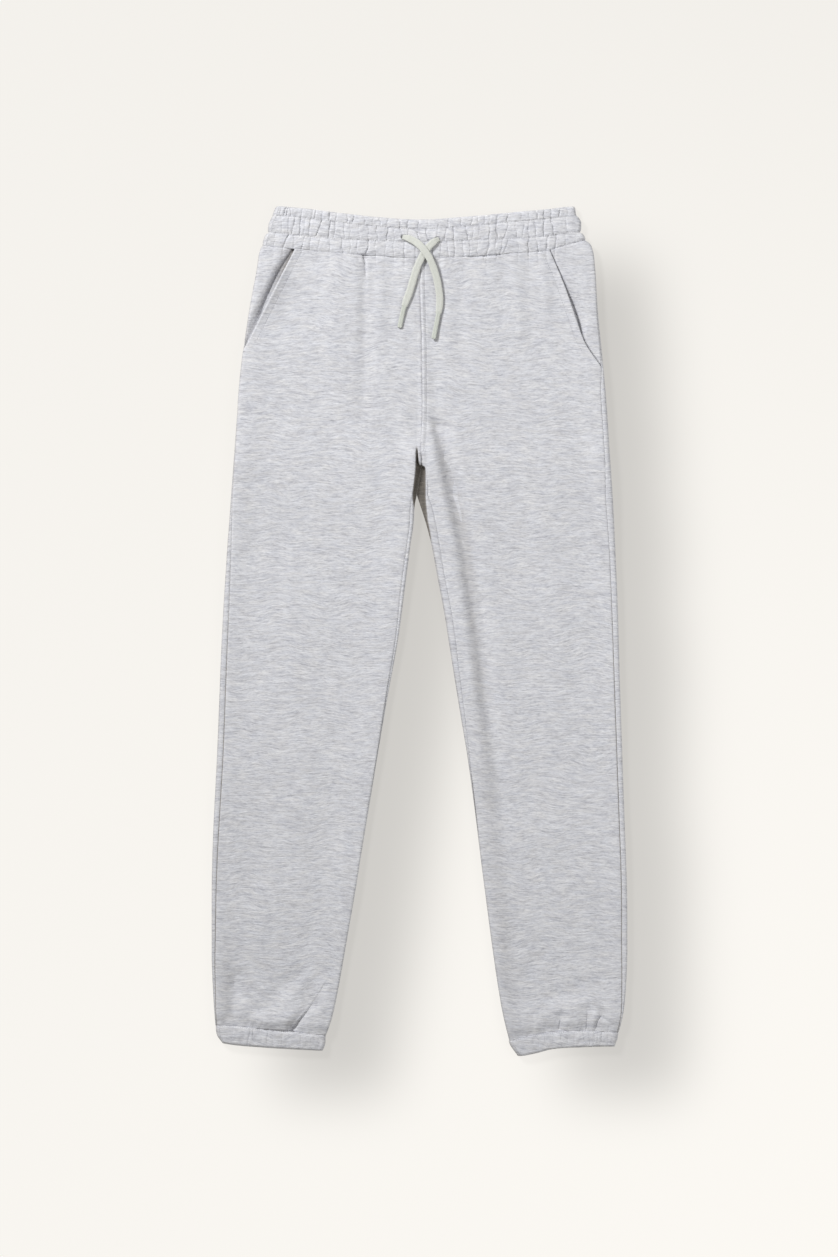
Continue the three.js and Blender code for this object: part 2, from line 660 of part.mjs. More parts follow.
for (const leg of [RIGHT, LEFT]) {
  const rows = rowsOf(leg);
  const mirrored = leg.toInner < 0;
  const front = panelGrid(leg, "front", rows, { close: 2, ends: 8, middle: 9 });
  add(`front_${leg.name}`, wall(front, mirrored), JERSEY);
  const back = panelGrid(leg, "back", rows, { close: 5, ends: 26, middle: 6 });
  add(`back_${leg.name}`, wall(back, !mirrored), JERSEY);

  const outerSeam = seamsOf(leg, 0);
  const lastRow = (leg.slantEnd + 3 - outerSeam.top) / (outerSeam.bottom - outerSeam.top);
  const hipRows = [...rows.filter((v) => v < lastRow - 0.008), lastRow];
  const hip = panelGrid(leg, "hip", hipRows, { close: 2, ends: 7, middle: 5 });
  add(`hip_${leg.name}`, wall(hip, mirrored), JERSEY);

  const { seamOuter, seamInner, hemOuter, hemInner } = leg.cuffSides;
  const cuffRows = CUFF_ROWS.map((row) => {
    const sides = [
      mix(seamOuter, hemOuter, row.part ** 2),
      mix(seamInner, hemInner, row.part ** 2),
    ].sort((a, b) => a - b);
    return { ...row, left: sides[0], right: sides[1], gap: row.part ? 0 : SEAM_GAP };
  });
  add(`cuff_${leg.name}`, band(leg.cuff, cuffRows, CUFF_GATHERS), JERSEY);

  const route = CORD_ROUTES[leg.name];
  const { width, thick, tipWidth, tipThick, tipStart } = CORD;
  const cord = cordGeometry(route, 0, tipStart - 0.002, width, thick, 16);
  add(`drawcord_${leg.name}`, cord, BRAID);
  const tip = cordGeometry(route, tipStart + 0.002, 1, tipWidth, tipThick, 6);
  add(`tip_${leg.name}`, tip, SEALED);
}
const waistRows = WAIST_ROWS.map((row) => ({
  ...row,
  gap: row.from === "second" && row.part === 1 ? -SEAM_GAP / 2 : 0,
}));
add("waistband", band(WAIST_LINES, waistRows, WAIST_GATHERS), JERSEY);

export default pants;
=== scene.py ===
"""Looks of the jogger sweatpants: dressed shells of each cloth piece, cord, stitches and light."""

import math

import bpy
import numpy as np
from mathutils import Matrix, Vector


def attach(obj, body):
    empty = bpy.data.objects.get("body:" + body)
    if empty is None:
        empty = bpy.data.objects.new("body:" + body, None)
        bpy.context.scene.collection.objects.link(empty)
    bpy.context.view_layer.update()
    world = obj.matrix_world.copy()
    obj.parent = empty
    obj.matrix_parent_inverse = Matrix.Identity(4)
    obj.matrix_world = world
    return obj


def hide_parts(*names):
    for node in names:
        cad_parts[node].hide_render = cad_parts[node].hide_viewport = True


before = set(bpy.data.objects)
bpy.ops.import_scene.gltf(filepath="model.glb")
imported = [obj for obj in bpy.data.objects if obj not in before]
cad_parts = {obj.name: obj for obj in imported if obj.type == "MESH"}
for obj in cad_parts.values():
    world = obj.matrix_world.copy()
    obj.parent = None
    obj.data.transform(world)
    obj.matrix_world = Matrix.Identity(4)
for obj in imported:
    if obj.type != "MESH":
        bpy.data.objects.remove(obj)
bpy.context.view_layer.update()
MM = 0.001


def table(columns, rows):
    """Rows of numbers, split by commas, under the named columns."""
    names = columns.split()
    return [dict(zip(names, map(float, row.split()))) for row in rows.split(",")]


# Sizes in millimetres, the same as in the part's source but for the gap, which closes at the seams
LENGTH = 1000.0
CLOTH = 2.0
SEAM_GAP = 0.06
CROTCH = 301.0
SPLIT = 340.0
UNDERLAP = 14.0
POCKET_STEP = 0.8
SAG_REACH = 24.0
LEAST_STACK = 2 * CLOTH + 0.7
BAND_WALL = 4.2
BLOUSE = (2.2, 13, 55)  # rise of the cloth over the cuff, where it peaks and where it ends
TOP, BOTTOM = 45.0, 970.0  # about where the waist seam and the cuff seams lie
OUTER_POWER = 3.3  # how square the rolled outer edge is; 2 would be a circle
LOWEST_STITCH = 1.5
MOUTH_STITCH, CENTRE_STITCH = 9.3, 5.4  # from the edge of the pocket mouth and from the centre seam
EDGE_CALM = 9  # so near an edge the long folds fade out
GAPE = {"from": 56, "full": 84, "until": 104, "fade": 30}  # where down the pocket its mouth stands open
HOLLOW_ENDS = (282, 288, 386, 395)  # the hollow fades in between the first two and out between the last
# Where in the knit each piece begins, so that no two show the same flecks
GRAIN = {"front": 0, "back": 400, "hip": 800, "band": 900, "left": 1300, "slant": 1.7}
# The shadow on the floor is painted into its colour
SHADOW = {"right": 72, "below": 60, "soft": 31.0}  # how far the floor's shade lies from the garment
GROUND = {"far": 20000, "near": 720, "step": 8}
QUARTER = math.pi / 2
CORD = {"width": 8.5, "thick": 2.4, "tip_width": 5.4, "tip_thick": 2.5, "tip_start": 0.78}

CENTRE = table("down x", "60 0, 100 0.8, 170 2.8, 240 3.2, 285 1.8, 301 2.2, 325 -0.8, 340 -3.2")
WAIST_LINES = table("x top first second seam", """
    -186 0 11 31 47.4, -164 0.4 12 32.5 49.4, -135 3 14.5 36 52.2, -95 8 19.5 39 56,
    -45 13.4 24.8 41.4 59.5, 0 16 27.5 42.6 62, 55 12.6 24.2 41 60, 110 7.5 19 38.6 56, 150 3.8 15.5 36 53,
    175 1 12.5 32 46, 195 0.4 11 31 41
""")
HEIGHTS = table("down rim middle", """
    40 9.6 9.6, 62 11.2 9.6, 100 12 9.6, 190 12 9.2, 260 12.6 8.6, 301 14 9, 340 13 8.6, 420 10.6 7.2,
    700 9.6 6.6, 900 9.4 6.8, 1000 9.4 9
""")
RIGHT = {
    "name": "right",
    "to_inner": 1,
    "outline": table("down outer outseam", """
        46.5 -184.8 0, 52 -187.6 0, 75 -191.6 0, 123 -200.6 0, 198 -211 0, 280 -217 0.6, 350 -222.2 2.6,
        412 -226.8 5, 510 -232.6 6.8, 645 -238.2 7, 755 -243.4 6, 810 -244.5 5, 880 -244.5 3.8,
        934 -242.2 2.4, 978 -239 1
    """),
    "inside": table("down inner inseam", """
        352 -5.6 4.6, 374 -7 4.6, 400 -10.8 4, 440 -16 4.4, 510 -25.2 3, 581 -38.2 1.6, 651 -50 0.6,
        722 -61.7 0, 863 -85.2 0, 934 -98 0, 957 -103.4 0, 980 -111.4 0
    """),
    "slant": table("down x", "40 -141, 104 -173.2, 177 -210, 240 -242"),
    "slant_end": 177,
    "gape": {"rise": 2.4, "sink": 1.2, "width": 16},
    "cuff": table("x seam hem", "-240 963.6 983, -222 964 986.6, -190 967.4 989.6, -152 971 992, -110 975 994"),
    "cuff_sides": ((-239.6, -231.5), (-110.6, -114)),  # each side at the seam and at the hem
    "cuff_round": 2.2,
}
LEFT = {
    "name": "left",
    "to_inner": -1,
    "outline": table("down outer outseam", """
        40.5 194.6 0, 44 199.6 0, 51 203.2 0, 75 206.6 0, 123 209.6 1, 190 216.2 2.4, 228 219.6 6.4,
        293 223.8 6.4, 351 227.6 8.6, 394 229.8 7.2, 463 232.8 7, 581 236.4 6.4, 722 241.2 6.2,
        810 244.2 6.4, 870 244.5 6.6, 914 243.2 5, 948 240 2.8, 974 233.8 1.4
    """),
    "inside": table("down inner inseam", """
        352 0.8 13, 374 7.8 11.4, 399 14.1 9.4, 440 21.7 8.6, 475 28.4 8.8, 546 39.6 7, 600 48.4 5,
        651 56.8 2.4, 722 66.4 0.6, 792 75 0, 934 94.8 0, 957 99.3 0, 984 106 0
    """),
    "slant": table("down x", "40 147.5, 88 168, 136 185, 162 194.6, 189 213, 240 248"),
    "slant_end": 189,
    "gape": {"rise": 0.4, "sink": 0.2, "width": 12},
    "cuff": table("x seam hem", """
        104 982 997, 118 979 1000, 136 975 997, 156 971.6 992, 190 970.4 989.8, 232 971.6 988.6
    """),
    "cuff_sides": ((105.2, 115), (233.9, 230)),
    "cuff_round": 1.0,
}
# Soft folds of the top layer that the solids have too
FOLDS = table("x down to_x to_down width rise", """
    12 110 22 262 9 -1.6, 24 262 52 400 10 -2, 52 400 84 610 11 -1.8, 84 610 112 870 11 -1.3,
    8 238 28 330 6 1.1, 28 330 44 400 6.5 1.3, 44 400 60 500 7 1.3, 60 500 88 734 8 1,
    -62 58 -66 250 8 -1.6, -84 70 -86 200 16 1.3, 48 80 52 230 9 -0.9, 128 62 132 170 8 -0.9,
    -212 900 -222 950 13 -1.6, -204 830 -196 880 18 1.2, -152 968 -128 936 7 -2.2,
    -176 962 -158 944 12 1.8, 164 968 166 952 5 -1.4, 197 968 198 946 5 -1.6, 209 966 214 948 5 -1.6
""")
# Soft creases of the top layer
CREASES = table("x down to_x to_down width rise", """
    -59 62 -61 120 4 0.7, -72 60 -74 150 7 0.6, 70 62 92 60 3 0.5, 88 734 99 854 7 0.5,
    26 262 42 330 9.5 -2, 42 330 57 400 9.5 -2.2, 57 400 72 500 9.5 -2.2, 72 500 84 590 9.5 -1.8,
    84 590 99 710 10 -1, 11 270 24 330 7.5 1.8, 24 330 38 400 7.5 2, 38 400 53 500 7.5 2,
    53 500 64 580 7.5 1.6, 64 580 78 690 8 1, 2 200 4 292 2.6 0.6, 4.4 288 5 302 2.2 0.9,
    -18 240 -8 300 8 0.8, -30 300 -24 420 9 0.6, -206 958 -190 946 7 -0.8, -221 952 -214 905 7 -1.2,
    -186 962 -158 955 8 1.3, -196 968 -191 958 2.2 -0.7, -137 936 -112 900 9 -1.0, -150 934 -128 905 8 0.9,
    -118 960 -114 930 7 0.7, 213 953 226 962 3 -0.7, 172 966 176 950 5 0.9, 203 966 206 953 4 1.0,
    140 965 144 950 6 0.8, 184 962 186 940 6 0.8, 225 960 222 940 5 0.7, -118 938 -112 918 4.5 -0.7,
    120 975 112 930 6 -0.6, -100 80 -104 180 10 0.5, -30 64 -34 150 7 -0.5, -44 62 -47 170 6 0.4,
    100 62 98 130 6 -0.6, 146 60 150 120 6 0.7, 30 64 34 140 6 0.5, 112 62 118 150 7 0.5,
    190 300 214 520 14 -0.7, 150 380 168 640 18 0.7, -150 420 -140 700 20 0.7, -196 330 -206 560 13 -0.6,
    -110 640 -128 860 15 -0.7, 190 700 204 900 14 0.6, -120 200 -100 330 18 -0.6, -208 896 -180 924 8 1.1,
    -216 918 -194 946 6 -1.2, -172 926 -142 904 8 -0.9, 148 934 188 918 8 -0.8, 156 948 200 932 6 0.8,
    124 900 146 880 9 -0.6
""")
# Sharp tucks: narrow grooves that fade at both ends
TUCKS = table("x down to_x to_down width deep", """
    -67.3 54.8 -65.4 62 0.8 2.2, -65.6 61 -63.6 70 0.9 1.9, -63.9 69 -62.8 84 1.1 0.9,
    163.6 969 165.8 956 0.8 1, 196.2 969 197.6 946 0.7 0.75, 206.4 968 209.8 957 0.8 0.9,
    209.6 958 214.2 951.5 0.8 1.2, 186 968 187.4 961 0.8 0.7, 174.6 968 176.2 960 0.8 0.6,
    222 969 223 962 0.8 0.5, 152 970 153 963 0.8 0.4, 75.6 57.8 76.4 65 0.9 0.8, 91 56.8 91.6 66 0.9 0.8,
    97 56 96.4 63 0.8 0.6, 127.8 53 128.4 60 0.8 0.6, 138.6 52 139.2 60 0.8 0.6, -186 966 -183 957 0.9 0.8,
    -203 964 -200 958 0.9 0.5
""")
# Cloth that hangs over the cloth beside it: from its line the left side stands high
OVERLAPS = [
    {"line": [
        (-119, 926), (-126.6, 938), (-133, 946.5), (-139.6, 954), (-147, 963), (-152.6, 969.4), (-155.4, 973),
    ], "high": 2.3, "crest": 7, "low": 2.9, "reach": 8, "under": 3.8, "fade": 0.85},
    {"line": [(60.4, 60.2), (68, 60.4), (77, 59.4), (86, 59.4), (94.6, 57.4)],
     "high": -2.2, "crest": 0, "low": 1.5, "reach": 1.2, "under": 1.2, "fade": 0.2},
]
# How far each cross seam sinks along its length
WAIST_SINK = table("x deep", """
    -190 0.2, -166 0.4, -142 0.4, -120 0.1, -80 0.12, -75 1.3, -61 1.3, -57 0.12, 20 0.12, 56 0.2, 61 1.4,
    94 1.2, 98 0.3, 125 0.4, 150 0.6, 170 0.3, 200 0.25
""")
CUFF_SINK = {
    "right": table("x deep", "-240 0.5, -190 0.6, -172 0.9, -166 2.3, -151 2.3, -145 0.4, -110 0.15"),
    "left": table("x deep", "104 0.1, 138 0.12, 152 0.4, 190 0.5, 232 0.45"),
}
# The dark hollow between the legs below the centre seam: its sides and its height over the floor
HOLLOW = table("down left right floor", """
    283 -3.4 -2.8 13, 290 -4 -2 9.5, 298 -4.2 -1.2 7.4, 304.6 -4.2 0 6.4, 307.4 -4.3 5.8 5,
    312 -4.6 6.8 4.7, 331 -6.8 6.9 4.7, 341 -7.8 6.9 4.7, 347 -7.4 7.1 4.7, 353 -6.6 7.6 4.7,
    358 -5 8.2 4.8, 364 -2 8.8 5, 369 -2 9.4 5, 384 -2 12 6, 394 -2 14 9
""")
# Pocket mouths: how far the piece inside sinks, how far the sink reaches, and the lift of the edge
MOUTH = {
    "right": table("down sink reach lift", """
        44 1.6 4 0.2, 52 3.4 4.5 0.8, 66 5 6.5 1.4, 90 5 8 1.6, 112 4.6 7.5 1.3, 130 3.2 7 0.8,
        150 1.4 6.5 0.3, 177 0.2 6 0
    """),
    "left": table("down sink reach lift", """
        46 0 3 0, 66 0.1 3 0.1, 88 0.5 3 0.3, 102 1.8 3.5 0.8, 116 4 4.2 1.4, 128 4.6 4.2 1.6,
        140 3.2 4 1.1, 154 0.7 3 0.2, 189 0 3 0
    """),
}
# Painted shade along the long fold down each front: where it lies across and how dark it is, by place down the
# leg
PAINTED_FOLD_SHADE = {"right": table("down x dark", """
    800 -222 0, 850 -226 0.04, 890 -227 0.08, 930 -226 0.1, 958 -224 0.07, 972 -222 0
"""), "left": table("down x dark", """
    262 19 0, 287 26 0.1, 336 41 0.13, 410 55 0.16, 528 67 0.11, 646 76 0.07, 760 86 0.06, 830 95 0.07,
    880 101 0.08, 930 106 0.06, 965 110 0
""")}
# Painted shade: how much darker each piece is where it rolls under, facing the wearer's right and the softbox,
# to tone down the light on these sides
PAINTED_RIM_SHADE = 0.3
# Spacing of the mesh lines down the leg and round each panel
STEPS = table("down step", """
    40 0.75, 70 0.9, 110 2.2, 190 2.6, 278 1.5, 298 1.1, 350 1.1, 392 2.4, 860 2.9, 905 1.3, 940 0.8,
    985 0.7
""")
SHARES = {
    "front_right": table("share step", """
        0 0.3, 0.05 0.9, 0.3 1.3, 0.57 1.1, 0.62 0.42, 0.68 0.42, 0.74 0.8, 0.8 0.6, 0.92 0.6, 0.95 0.34,
        1 0.22
    """),
    "front_left": table("share step", """
        0 0.3, 0.05 0.8, 0.12 0.42, 0.19 0.3, 0.22 0.42, 0.26 0.3, 0.31 0.34, 0.36 0.8, 0.48 0.8, 0.5 0.4,
        0.56 0.4, 0.6 0.9, 0.8 1.2, 0.92 0.7, 0.95 0.34, 1 0.22
    """),
    "back": table("share step", "0 0.3, 0.06 0.9, 0.2 1.4, 0.8 1.4, 0.93 0.8, 1 0.25"),
    "hip": table("share step", "0 0.6, 0.2 1, 0.5 0.8, 1 0.8"),
}
WAIST_SHAPE = table("t height left right", """
    0 6.8 -167.6 182, 0.12 9.2 -169.3 182.8, 0.5 10.6 -171.2 183.6, 0.92 10.3 -172.6 184.6,
    1 9.9 -172.8 185, 1.1 10.3 -174 187.3, 1.5 11 -177.6 190.2, 1.9 10.6 -178.4 189.8, 2 10 -177.8 188.8,
    2.12 10.4 -180.4 191.5, 2.5 10.9 -183.6 194, 2.9 10.3 -184.6 195, 3 9.6 -184.6 194.8
""")
# Gathers of each channel, top to bottom: x at its upper and lower line, and how deep
GATHERS = {
    "first": table("x to_x deep", """
        -170 -170.5 0.2, -163 -164 0.4, -157 -159 0.9, -153.8 -156 0.9, -150.8 -151.2 0.6,
        -137.8 -138.5 0.65, -124.7 -127.3 0.6, -121.8 -123.6 0.9, -113.6 -114.2 0.5, -104.6 -107.2 0.9,
        -97.6 -97.6 0.6, -84.7 -84.9 0.8, -77.3 -77.8 0.8, -64 -64.6 0.3, -54 -54.2 0.3, -45.9 -46.4 0.6,
        -37.5 -38.2 0.4, -23.8 -22.6 0.8, -12.4 -14.2 0.9, -1.2 -1.8 0.8, 10.5 10.9 0.3, 22.4 22.4 0.4,
        34.7 33.2 0.6, 49.6 49.2 0.65, 62.9 60.4 0.75, 68.2 70.4 0.5, 77.4 75.8 0.6, 82.4 83 0.35,
        93.5 90.4 0.75, 103.8 103.2 0.8, 119.4 119 0.3, 129.3 129.6 0.4, 137.6 138.7 0.75, 145.8 146.8 0.9,
        155.8 153.8 0.9, 165.4 164.2 0.8, 174 174.4 0.3
    """),
    "second": table("x to_x deep", """
        -163 -161 0.3, -152.8 -153.8 0.4, -145.2 -150.8 0.75, -140.4 -140 0.9, -133.9 -135.2 0.35,
        -127 -130.8 0.65, -114.6 -121.4 0.85, -104 -108.2 0.85, -99.3 -99.6 0.6, -87.6 -89 0.5,
        -81.6 -81.9 0.3, -71 -70.4 0.25, -60.7 -59.3 0.6, -50 -49.4 0.5, -37.4 -37.9 0.85, -29 -29.5 0.3,
        -22.8 -19.2 0.75, -13 -12 0.3, -5.4 1.2 0.85, 7.4 10.6 0.85, 20.6 20.8 0.3, 33 29.2 0.6,
        39.3 40.6 0.8, 54.8 56.8 1, 62.9 63.1 0.4, 70.6 71.6 0.3, 82 82.6 0.75, 90 92.2 0.95,
        104.4 100 0.55, 113.4 114 0.4, 122.6 121.6 0.4, 128.3 129 0.4, 136 136.6 0.8, 145.8 146.6 1,
        155.6 157.4 0.9, 172.6 173.4 0.5
    """),
    "third": table("x to_x deep", """
        -168 -172 0.3, -153.6 -160 0.8, -146.4 -149 0.4, -134.6 -138 0.5, -126.6 -130.2 0.5, -117 -119 0.3,
        -105 -106 0.3, -90.7 -90.4 0.6, -81.2 -81.6 0.3, -73.1 -72.8 0.45, -59.6 -62.8 0.95,
        -51.2 -51.4 0.3, -40.6 -40 0.3, -30 -30.4 0.35, -18.5 -17 0.65, -5.1 -5.1 0.45, 6 6.5 0.35,
        14 14.4 0.35, 25.4 25 0.45, 33.5 33.6 0.45, 40.4 41.8 0.75, 51.3 51.9 0.6, 59.2 59.2 0.5,
        68.8 68.4 0.3, 82.3 79.2 0.8, 90.3 89.8 0.45, 98.6 94.4 0.6, 104.2 99.4 0.5, 115.8 116 0.3,
        128.1 128.7 0.75, 137.2 139.8 0.7, 151 149.4 0.9, 160.8 159 0.9, 172.4 171.6 0.3, 184 183.4 0.2
    """),
}
CUFF_SHAPE = table("t height in_by", """
    0 9.2 0, 0.12 10.2 0.02, 0.5 10.7 0.3, 0.85 10.5 0.8, 0.95 9 0.95, 1 6.4 1
""")
CUFF_GATHERS = {
    "right": table("x to_x deep", """
        -229 -228 0.2, -219 -220 0.3, -207 -208 0.2, -200 -201 0.6, -196 -193.6 0.8, -187 -185.6 0.35,
        -179 -178 0.45, -171.6 -172 0.4, -162 -161.6 0.3, -152 -152.6 0.2, -140 -139 0.25, -127 -127.4 0.2,
        -118 -117.6 0.2
    """),
    "left": table("x to_x deep", """
        118 119 0.2, 128 130.4 0.25, 137 143.4 0.55, 146 151.6 0.5, 156.4 157 0.3, 166 168.4 0.6,
        174 174.6 0.3, 181.6 182 0.3, 192.6 195.4 0.95, 199 200.6 0.5, 204.6 206 0.45, 209.4 210 0.4,
        214.4 214.6 0.7, 221 221.6 0.3
    """),
}
CORD_ROUTES = {
    "right": table("x down z", """
        -20 37.2 12.9, -13 39 13.3, -6 42.6 14.3, 0.5 47.6 15.6, 6 54 16.2, 11.6 62.4 15.8, 16.2 73.4 14.8,
        19.8 84.8 13.9, 22.2 96 13.2, 23.6 107.2 12.7, 23.6 116.6 12.3, 22.4 126 12, 20.6 135.6 11.7,
        18.6 146 11.4, 16.4 157 11.1
    """),
    "left": table("x down z", """
        23 39.6 12.8, 18.6 42 13, 14 45.8 13.2, 10 50.2 13.2, 4.8 57.6 13, 0.2 66 12.6, -3.4 74.6 12.2,
        -6.4 83.8 11.9, -9.4 94 11.8, -13 105.4 11.7, -16.6 114.6 11.6, -19.2 124 11.4, -21.4 133.6 11.2,
        -23.6 143.8 11
    """),
}
BUTTONHOLES = table("x down wide tall", "-18.4 37.2 3.2 2.4, 21 39.6 3.2 2.4")
for leg, seeds, allowance in ((RIGHT, (8, 11), 0.25), (LEFT, (3, 5), 1.0)):
    side = leg["name"]
    leg.update(
        mouth=MOUTH[side], darkest=PAINTED_FOLD_SHADE[side], cuff_sink=CUFF_SINK[side],
        cuff_gathers=CUFF_GATHERS[side], seeds=seeds, allowance=allowance,
    )


def read(rows, column, at):
    """A column of a table at any place along its first column, on a smooth curve with no overshoot."""
    k, c = (np.array([row[name] for row in rows], float) for name in (next(iter(rows[0])), column))
    sec = np.diff(c) / np.diff(k)
    a, b = np.append(sec[:1], sec), np.append(sec, sec[-1:])
    slope = np.sign(a) * np.minimum(np.abs(a + b) / 2, 3 * np.minimum(np.abs(a), np.abs(b)))
    slope = np.where(a * b <= 0, 0, slope)
    at = np.clip(np.asarray(at, float), k[0], k[-1])
    i = np.clip(np.searchsorted(k, at, side="left") - 1, 0, len(k) - 2)
    step = k[i + 1] - k[i]
    t = (at - k[i]) / step
    rest = 1 - t
    return (
        (1 + 2 * t) * rest * rest * c[i] + t * rest * rest * step * slope[i]
        + t * t * (3 - 2 * t) * c[i + 1] - t * t * rest * step * slope[i + 1]
    )


def mix(a, b, t):
    return a + (b - a) * t


def ease(low, high, value):
    t = np.clip((value - low) / (high - low), 0, 1)
    return t * t * (3 - 2 * t)


def bell(distance, width):
    return np.exp(-((distance / width) ** 2))


def lengths_along(path):
    return np.append(0, np.cumsum(np.linalg.norm(np.diff(path, axis=0), axis=1)))


def path_at(at, run, path):
    """Points of a path at some lengths along it."""
    return np.stack([np.interp(at, run, path[:, k]) for k in range(3)], 1)


def stacked(*parts):
    return np.stack(np.broadcast_arrays(*parts), -1)


def laid(x, down, z):
    """Points of the laid garment from their places across, down and over the floor."""
    return stacked(x, LENGTH / 2 - down, z)


def unit(vectors):
    return vectors / np.linalg.norm(vectors, axis=1)[:, None]


def beside(x, down, start, end):
    """How far along a straight stretch a place lies, its distance from it, and its side."""
    run = (end[0] - start[0], end[1] - start[1])
    off = (x - start[0], down - start[1])
    t = (run[0] * off[0] + run[1] * off[1]) / (run[0] ** 2 + run[1] ** 2)
    near = np.clip(t, 0, 1)
    far = np.hypot(off[0] - near * run[0], off[1] - near * run[1])
    return t, far, np.sign(run[0] * off[1] - run[1] * off[0])


def ends_of(row):
    return (row["x"], row["down"]), (row["to_x"], row["to_down"])


def relief(folds, x, down):
    """Rise of the cloth from ridges and troughs on straight stretches, joined end to end in chains."""
    total = np.zeros(np.broadcast(x, down).shape)
    part, last = np.zeros_like(total), None
    for fold in folds:
        start, end = ends_of(fold)
        rise = fold["rise"] * bell(beside(x, down, start, end)[1], fold["width"])
        if start == last:
            rise = np.where(np.abs(rise) > np.abs(part), rise, part)
            total -= part
        total += rise
        part, last = rise, end
    return total


def tucks(x, down):
    """Narrow grooves with a sharp bottom and a low lip on either side."""
    total = np.zeros(np.broadcast(x, down).shape)
    for tuck in TUCKS:
        t, far, _ = beside(x, down, *ends_of(tuck))
        far = far / tuck["width"]
        hold = ease(-0.15, 0.12, t) * (1 - ease(0.7, 1.15, t))
        total += tuck["deep"] * hold * (0.35 * bell(far, 3) - 1.35 * np.exp(-far))
    return total


def overlap(fold, x, down):
    """A step along a drawn line: high cloth on one side, a fading hollow under it on the other."""
    line = np.array(fold["line"], float)
    spans = np.hypot(*np.diff(line, axis=0).T)
    starts = np.append(0, np.cumsum(spans)) / spans.sum()
    best = np.full(np.broadcast(x, down).shape, 1e9)
    side, place = np.zeros_like(best), np.zeros_like(best)
    for k, span in enumerate(spans):
        t, far, turn = beside(x, down, line[k], line[k + 1])
        closer = far < best
        best = np.where(closer, far, best)
        side = np.where(closer, turn, side)
        place = np.where(closer, starts[k] + np.clip(t, 0, 1) * span / spans.sum(), place)
    hold = ease(0, fold["fade"], place) * np.where(place >= 1, bell(best, 3), 1)
    high = fold["high"] * bell(best - fold["crest"], fold["reach"])
    return np.where(side > 0, high * mix(hold, 1, 0.4), -fold["low"] * bell(best, fold["under"]) * hold)


# Materials

def shader(name, colour, roughness, sheen):
    material = bpy.data.materials.new(name)
    material.use_nodes = True
    tree = material.node_tree
    bsdf = tree.nodes["Principled BSDF"]
    for socket, value in (
        ("Base Color", (*colour, 1)), ("Roughness", roughness), ("Specular IOR Level", 0.25),
        ("Sheen Weight", sheen), ("Sheen Roughness", 0.5),
    ):
        bsdf.inputs[socket].default_value = value
    return material, tree, bsdf


def add_node(tree, kind, *fed, **settings):
    """A node whose sockets, by place or by name, take numbers or links; the rest is set on it."""
    node = tree.nodes.new(kind)
    for key, value in [*enumerate(fed), *settings.items()]:
        if isinstance(value, bpy.types.NodeSocket):
            tree.links.new(value, node.inputs[key])
        elif isinstance(key, int) or key in node.inputs:
            node.inputs[key].default_value = value
        else:
            setattr(node, key, value)
    return node


def grain(tree, scale, drift=()):
    """Stretched cloth coordinates in metres; drift makes them wander, so that flecks lie wavy."""
    uv = add_node(tree, "ShaderNodeUVMap", uv_map="grain").outputs["UV"]
    for size, reach in drift:
        wander = add_node(tree, "ShaderNodeTexNoise", noise_dimensions="2D", Scale=size, Detail=1.0, Vector=uv)
        uv = add_node(
            tree, "ShaderNodeVectorMath", wander.outputs["Color"], (reach * 0.4, reach, 0), uv,
            operation="MULTIPLY_ADD",
        ).outputs["Vector"]
    return add_node(tree, "ShaderNodeMapping", Scale=(*scale, 1), Vector=uv).outputs["Vector"]


def noise(tree, vector, detail, rough, seed):
    return add_node(
        tree, "ShaderNodeTexNoise", noise_dimensions="4D", Scale=1.0, Detail=detail, Roughness=rough,
        W=seed, Vector=vector,
    ).outputs["Fac"]


def wave(tree, vector, direction, distortion):
    return add_node(
        tree, "ShaderNodeTexWave", wave_type="BANDS", bands_direction=direction, Scale=1.0,
        Distortion=distortion, Vector=vector,
    ).outputs["Fac"]


def attribute(tree, name):
    return add_node(tree, "ShaderNodeAttribute", attribute_name=name).outputs["Fac"]


def ramp(tree, value, stops):
    node = add_node(tree, "ShaderNodeValToRGB", value)
    elements = node.color_ramp.elements
    while len(elements) < len(stops):
        elements.new(0.5)
    for element, (at, colour) in zip(elements, stops):
        element.position = at
        element.color = (*colour, 1)
    return node.outputs["Color"]


def multiply(tree, a, b):
    node = add_node(tree, "ShaderNodeMix", 1.0, data_type="RGBA", blend_type="MULTIPLY")
    tree.links.new(a, node.inputs[6])
    tree.links.new(b, node.inputs[7])
    return node.outputs[2]


def maths(tree, operation, *values):
    return add_node(tree, "ShaderNodeMath", *values, operation=operation).outputs[0]


def bump(tree, height, strength, distance, **before):
    return add_node(
        tree, "ShaderNodeBump", Strength=strength, Distance=distance, Height=height, **before,
    ).outputs["Normal"]


